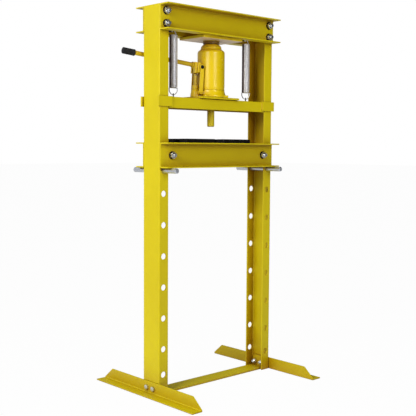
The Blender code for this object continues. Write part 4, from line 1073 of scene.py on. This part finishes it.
def build_jack_base():
    """The base casting: a flared foot, a flat slab, and the pump's boss, bridge and link lug."""
    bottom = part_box("jack_base")[0].z
    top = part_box("jack_reservoir")[0].z - 0.0003
    body = extent("jack_reservoir").x / 2
    pump = middle("pump_cylinder")
    pump_r = Vector((pump.x, pump.y)).length
    link_foot = Vector(joint("link_swing")["pos_m"])
    link_r = Vector((link_foot.x, link_foot.y)).length
    profile = [(0, top), (body, top), (body + 0.0008, top - 0.007), (body + 0.0040, bottom + 0.013)]
    profile += [(body + 0.0073, bottom + 0.007), (body + 0.0073, bottom), (0, bottom)]
    base = placed("jack_base_casting", lathe("jack_base_casting", profile, 64))
    slab_place = axes(-LEVER_OUT, -LEVER_ACROSS, (0, 0, bottom + 0.0044))
    plate = rounded([(-0.056, -0.053), (0.056, -0.053), (0.056, 0.053), (-0.056, 0.053)], 0.005, 5)
    combine(base, prism("foot", plate, 0.0088), "UNION", slab_place)
    profile = [(0, top + 0.0039), (0.0150, top + 0.0039), (0.0153, top), (0.0180, top - 0.006)]
    profile += [(0.0208, bottom + 0.010), (0.0214, bottom + 0.001), (0, bottom + 0.001)]
    combine(base, lathe("boss", profile, 40), "UNION", Matrix.Translation(lever_plane(pump_r, 0)))
    size = (pump_r - 0.012, 0.030, top - bottom - 0.006)
    bridge = axes(-LEVER_OUT, -LEVER_ACROSS, lever_plane(pump_r / 2, (top + bottom) / 2 - 0.002))
    combine(base, slab("bridge", size, 0.003), "UNION", bridge)
    lug = axes(-LEVER_OUT, -LEVER_ACROSS, lever_plane(link_r - 0.0092, link_foot.z - 0.001))
    combine(base, slab("lug", (0.0336, 0.0660, 0.0146), 0.003), "UNION", lug)
    cast_skin(base, 0.00110, 4)
    combine(base, rods("link_hole", [(along(LEVER_ACROSS, link_foot), 0.0049, 0.090)], 32))
    valve = middle("release_valve")
    valve_out = Vector((valve.x, valve.y, 0)).normalized()
    seat = [(along(valve_out, valve_out * 0.060 + UP * valve.z), 0.0058, 0.032)]
    combine(base, rods("valve_hole", seat, 32))
    below = Matrix.Translation((0, 0, bottom - 0.0499))
    combine(base, slab("level", (0.4, 0.4, 0.1), 0.001), place=below)
    show(base, JACK_PAINT, "carriage", ["jack_base"], smooth=45, weighted=False)


def build_release_valve():
    """A slotted screw with a groove round its head."""
    valve = middle("release_valve")
    valve_out = Vector((valve.x, valve.y, 0)).normalized()
    radius, neck, length = 0.0050, 0.0043, 0.0275
    profile = [(0, length), (radius - 0.0010, length), (radius, length - 0.0010), (radius, length - 0.007)]
    profile += [(neck, length - 0.0076), (neck, length - 0.0084), (radius, length - 0.009)]
    profile += [(radius, 0.001), (radius - 0.001, 0), (0, 0)]
    screw = placed("release_valve_screw", lathe("release_valve_screw", profile, 32))
    slot = slab("slot", (0.0022, 0.016, 0.006), 0.0002)
    combine(screw, slot, place=Matrix.Translation((0, 0, length)))
    screw.data.transform(along(valve_out, valve_out * 0.0460 + UP * valve.z))
    show(screw, ZINC, "valve", ["release_valve"])


def build_pump():
    low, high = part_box("pump_cylinder")
    axis = middle("pump_cylinder")
    centre = Matrix.Translation((axis.x, axis.y, 0))
    top, bottom = high.z, low.z
    bore = 0.0086
    profile = [(bore, top - 0.001), (bore + 0.001, top), (0.0108, top), (0.0127, top - 0.0018)]
    profile += [(0.0129, top - 0.0075), (0.0136, top - 0.0100), (0.0148, bottom + 0.001), (0.0145, bottom)]
    profile += [(bore, bottom)]
    turned("pump_barrel", profile, 56, centre, JACK_PAINT, "carriage", ["pump_cylinder"], smooth=32)

    low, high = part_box("pump_plunger")
    pin_z = high.z - 0.0105
    rod = 0.0080
    profile = [(0, pin_z - 0.0095), (rod - 0.0012, pin_z - 0.0095), (rod, pin_z - 0.0107)]
    profile += [(rod, low.z + 0.001), (rod - 0.001, low.z), (0, low.z)]
    plunger = placed("pump_plunger_rod", lathe("pump_plunger_rod", profile, 40), centre)
    circle = arc_profile((0, 0), 0.0105, 0, 360, 40)[:-1]
    tongue_centre = Vector((axis.x, axis.y, pin_z))
    combine(plunger, prism("tongue", circle, 0.0095), "UNION", axes(LEVER_OUT, UP, tongue_centre))
    combine(plunger, rods("eye", [(along(LEVER_ACROSS, tongue_centre), 0.0054, 0.03)], 32))
    soften(plunger, 0.0004, 2, 35)
    look = shaded_plunger("plunger_rod", pin_z - 0.0165)
    show(plunger, look, "plunger", ["pump_plunger"], smooth=32, slot="ground_steel")


def build_link():
    """Two forged side plates with round heads, the foot pin that joins them, and two short top pins."""
    foot = Vector(joint("link_swing")["pos_m"])
    head = Vector(joint("pump_lever")["pos_m"])
    rise = (head - foot).normalized()
    outward = -LEVER_ACROSS.cross(rise)
    centre = (foot + head) / 2
    half = (head - foot).length / 2
    waist, side, thick = 0.0083, 0.0365, 0.0048
    outline = arc_profile((0, half), 0.0109, -42, 222, 20)
    outline += [(-waist, half - 0.015), (-waist, -half + 0.005)]
    outline += arc_profile((0, -half), 0.0089, 180, 360, 16)
    outline += [(waist, -half + 0.005), (waist, half - 0.015)]
    near, far = [axes(outward, rise, centre + LEVER_ACROSS * side * sign) for sign in (-1, 1)]
    link = placed("pump_link_plates", prism("near", outline, thick), near)
    combine(link, prism("far", outline, thick), "UNION", far)
    for sign in (-1, 1):
        sunk = along(LEVER_ACROSS, head + LEVER_ACROSS * sign * (side + thick / 2))
        combine(link, rods("countersink", [(sunk, 0.0080, 0.0030)], 40))
    soften(link, 0.0009, 2, 35)
    foot_reach = side + thick / 2 + 0.0016
    profile = [(0, foot_reach), (0.0034, foot_reach), (0.0042, foot_reach - 0.0010)]
    profile += [(0.0042, -foot_reach + 0.0010), (0.0034, -foot_reach), (0, -foot_reach)]
    combine(link, lathe("foot_pin", profile, 32), "UNION", along(LEVER_ACROSS, foot))
    show(link, JACK_PAINT, "link", ["pump_link"])

    inner, outer = 0.0272, side + thick / 2 + 0.0012
    for sign, name in ((-1, "near"), (1, "far")):
        profile = [(0, outer), (0.0060, outer), (0.0070, outer - 0.0010), (0.0070, outer - 0.0026)]
        profile += [(0.0042, outer - 0.0026), (0.0042, inner + 0.0008), (0.0034, inner), (0, inner)]
        turned("link_pin_" + name, profile, 40, along(LEVER_ACROSS * sign, head), BLACK, "link")


def build_socket(head, pin_point, lift):
    """The forked socket casting."""
    pin = pin_point - head
    pin_forward, pin_up = pin.dot(HANDLE_OUT), pin.dot(HANDLE_UP)
    top, bottom = 0.0176, -0.0268
    ceiling = 1.3145
    head_r = Vector((head.x, head.y)).length
    fork = arc_profile((0, 0), 0.0064, 120, 240, 8)
    fork += [(0.0042, bottom + 0.0042), (0.0158, bottom + 0.0022), (0.0178, top), (0.0087, top)]
    socket = placed("handle_socket_casting", prism("fork", fork, 0.0656), axes(HANDLE_OUT, HANDLE_UP, head))
    space = axes(LEVER_OUT, UP, lever_plane(head_r, ceiling - 0.030))
    combine(socket, slab("space", (0.080, 0.060, 0.0532), 0.002), place=space)
    relief = axes(LEVER_OUT, UP, lever_plane(head_r - 0.004, head.z))
    combine(socket, slab("relief", (0.0202, 0.060, 0.0532), 0.002), place=relief)
    block = [(0.0042, 0.004), (0.0038, -0.012)]
    block += arc_profile((pin_forward, pin_up), 0.0083, 190, 290, 8)
    block += [(0.0234, bottom), (0.0288, top), (0.0087, top)]
    block_place = axes(HANDLE_OUT, HANDLE_UP, head - LEVER_ACROSS * 0.0050)
    combine(socket, prism("block", block, 0.0396), "UNION", block_place)
    collar = along(HANDLE_OUT, head + HANDLE_OUT * 0.0225 + HANDLE_UP * (lift - 0.0002))
    profile = [(0, 0.0090), (0.0120, 0.0090), (0.0126, 0.0082), (0.0126, -0.0130), (0, -0.0130)]
    combine(socket, lathe("collar", profile, 40), "UNION", collar)
    cast_skin(socket, 0.0008, 3)
    slot = axes(LEVER_OUT, UP, Vector((pin_point.x, pin_point.y, ceiling - 0.021)))
    combine(socket, slab("slot", (0.056, 0.042, 0.0116), 0.0008), place=slot)
    bore = along(HANDLE_OUT, head + HANDLE_OUT * 0.030 + HANDLE_UP * lift)
    bars = [(bore, 0.0095, 0.043), (along(LEVER_ACROSS, head), 0.0045, 0.090)]
    bars.append((along(LEVER_ACROSS, pin_point), 0.0038, 0.053))
    combine(socket, rods("bores", bars, 40))
    show(socket, JACK_PAINT, "lever", ["handle_socket"], smooth=45, weighted=False)


def build_lever():
    """The socket, its pin, the handle tube and the ribbed grip."""
    head = Vector(joint("pump_lever")["pos_m"])
    pin_point = middle("plunger_pin")
    lift = 0.0072
    build_socket(head, pin_point, lift)
    length = 0.0164
    profile = chamfered(0.0035, length, -length, 0.0009)
    pin_place = along(LEVER_ACROSS, pin_point)
    turned("plunger_pin_bar", profile, 32, pin_place, ZINC, "lever", ["plunger_pin"])

    start, reach, radius, wall = 0.0095, 0.327, 0.009, 0.0022
    profile = chamfered(radius, reach, 0, 0.0005, radius - wall)
    tube_place = along(HANDLE_OUT, head + HANDLE_OUT * start + HANDLE_UP * lift)
    turned("pump_handle_tube", profile, 48, tube_place, HANDLE_PAINT, "handle", ["pump_handle"])

    grip_length, grip = 0.053, 0.0130
    profile = [(0, grip_length)]
    profile += arc_profile((grip - 0.0045, grip_length - 0.0045), 0.0045, 90, 0, 6)
    ribs = 7
    rib_pitch = (grip_length - 0.016) / ribs
    for k in range(ribs):
        height = grip_length - 0.008 - k * rib_pitch
        profile += [(grip, height), (grip - 0.0011, height - rib_pitch * 0.22)]
        profile += [(grip - 0.0011, height - rib_pitch * 0.42), (grip, height - rib_pitch * 0.62)]
    profile += [(grip, 0.0050), (grip + 0.0002, 0.0040), (grip + 0.0002, 0.0012), (grip - 0.0012, 0)]
    profile += [(radius + 0.0003, 0), (radius + 0.0003, grip_length - 0.0035), (0, grip_length - 0.0035)]
    grip_start = start + reach - grip_length + 0.004
    grip_place = along(HANDLE_OUT, head + HANDLE_OUT * grip_start + HANDLE_UP * lift)
    looks = {"smooth": 30, "weighted": False}
    turned("handle_grip_sleeve", profile, 56, grip_place, RUBBER, "handle", ["handle_grip"], **looks)


# ---------------------------------------------------------------- stage
def white_to_camera(tree, shader, seen, mirrored=0.0):
    """Shows the camera plain white, and mirrors some of it; other rays meet the true surface."""
    path, glow, mix, total = [
        tree.nodes.new("ShaderNode" + kind) for kind in ("LightPath", "Emission", "MixShader", "Math")
    ]
    total.operation = "ADD"
    for k, (output, share) in enumerate((("Is Camera Ray", seen), ("Is Glossy Ray", mirrored))):
        scaled = tree.nodes.new("ShaderNodeMath")
        scaled.operation = "MULTIPLY"
        scaled.inputs[1].default_value = share
        tree.links.new(path.outputs[output], scaled.inputs[0])
        tree.links.new(scaled.outputs["Value"], total.inputs[k])
    tree.links.new(total.outputs["Value"], mix.inputs["Fac"])
    tree.links.new(shader.outputs[0], mix.inputs[1])
    tree.links.new(glow.outputs["Emission"], mix.inputs[2])
    return mix.outputs["Shader"]


def build_world():
    """A studio bright on its left and back, and dim on its right; plain white to the camera."""
    world = bpy.data.worlds.new("studio")
    bpy.context.scene.world = world
    world.use_nodes = True
    tree = world.node_tree
    background = tree.nodes["Background"]
    background.inputs["Color"].default_value = (1.0, 1.0, 1.0, 1.0)
    direction = tree.nodes.new("ShaderNodeTexCoord").outputs["Generated"]
    dot = tree.nodes.new("ShaderNodeVectorMath")
    dot.operation = "DOT_PRODUCT"
    dot.inputs[1].default_value = BRIGHT_SIDE
    tree.links.new(direction, dot.inputs[0])
    strength = tree.nodes.new("ShaderNodeMapRange")
    strength.interpolation_type = "SMOOTHSTEP"
    limits = {"From Min": -0.3, "From Max": 0.85, "To Min": DIM_LIGHT, "To Max": BRIGHT_LIGHT}
    for key, value in limits.items():
        strength.inputs[key].default_value = value
    tree.links.new(dot.outputs["Value"], strength.inputs["Value"])
    tree.links.new(strength.outputs["Result"], background.inputs["Strength"])
    surface = white_to_camera(tree, background, 1.0)
    tree.links.new(surface, tree.nodes["World Output"].inputs["Surface"])


def build_stage():
    """A pale floor, a plain white surround and soft lamps from the left."""
    white = Look("stage_white")
    tone = white.fit(white.noise(0.8, 2.0), 0.3, 0.7)
    colour = white.mix(tone, rgb(0.84, 0.84, 0.84), rgb(0.88, 0.88, 0.88))
    material = white.surface(colour, 0.9, 0.0)
    output = next(n for n in white.tree.nodes if n.bl_idname == "ShaderNodeOutputMaterial")
    white.join(white_to_camera(white.tree, white.shader, 0.97, 0.22), output.inputs["Surface"])
    bm = bmesh.new()
    bmesh.ops.create_grid(bm, x_segments=2, y_segments=2, size=40.0)
    floor = placed("stage_floor", to_mesh(bm, "stage_floor"), Matrix.Translation((0, 0, -0.0005)))
    floor.data.materials.append(material)

    build_world()
    for name, place, target, size, power in LAMPS:
        data = bpy.data.lights.new(name, "AREA")
        data.shape = "SQUARE"
        data.size = size
        data.energy = power
        lamp = bpy.data.objects.new(name, data)
        lamp.location = place
        aim = Vector(target) - Vector(place)
        lamp.rotation_euler = aim.to_track_quat("-Z", "Y").to_euler()
        bpy.context.scene.collection.objects.link(lamp)


def build_camera():
    yaw, pitch, roll = math.radians(-42.546), math.radians(4.204), math.radians(0.337)
    level = Vector((-math.sin(yaw), math.cos(yaw), 0))
    forward = level * math.cos(pitch) - UP * math.sin(pitch)
    right = Vector((math.cos(yaw), math.sin(yaw), 0))
    upward = right.cross(forward)
    tilted_right = right * math.cos(roll) + upward * math.sin(roll)
    tilted_up = upward * math.cos(roll) - right * math.sin(roll)
    data = bpy.data.cameras.new("camera")
    data.sensor_width = 36.0
    data.lens = 70.73
    camera = bpy.data.objects.new("camera", data)
    matrix = Matrix((tilted_right, tilted_up, -forward)).transposed().to_4x4()
    matrix.translation = Vector((-2.33235, -2.52768, 0.98770))
    camera.matrix_world = matrix
    bpy.context.scene.collection.objects.link(camera)
    bpy.context.scene.camera = camera


def build_press():
    build_columns()
    beam_bolts = ["top_bolt_" + side + "_" + level for _, side in SIDES for level in LEVELS]
    for node in ("top_beam_front", "top_beam_rear"):
        build_outward_channel(node, beam_bolts, "frame")
    for node in ("bed_channel_front", "bed_channel_rear"):
        build_outward_channel(node, ["bed_bolt_left", "bed_bolt_right"], "bed")
    build_carriage_channel()
    build_feet()
    build_strut()
    build_plates()
    build_welds()
    build_fasteners()
    build_bed_details()
    build_springs()
    build_press_pin_and_seat()
    build_reservoir()
    build_jack_top()
    build_jack_base()
    build_release_valve()
    build_pump()
    build_link()
    build_lever()


build_press()
build_stage()
build_camera()
bpy.context.scene.view_settings.view_transform = "Standard"
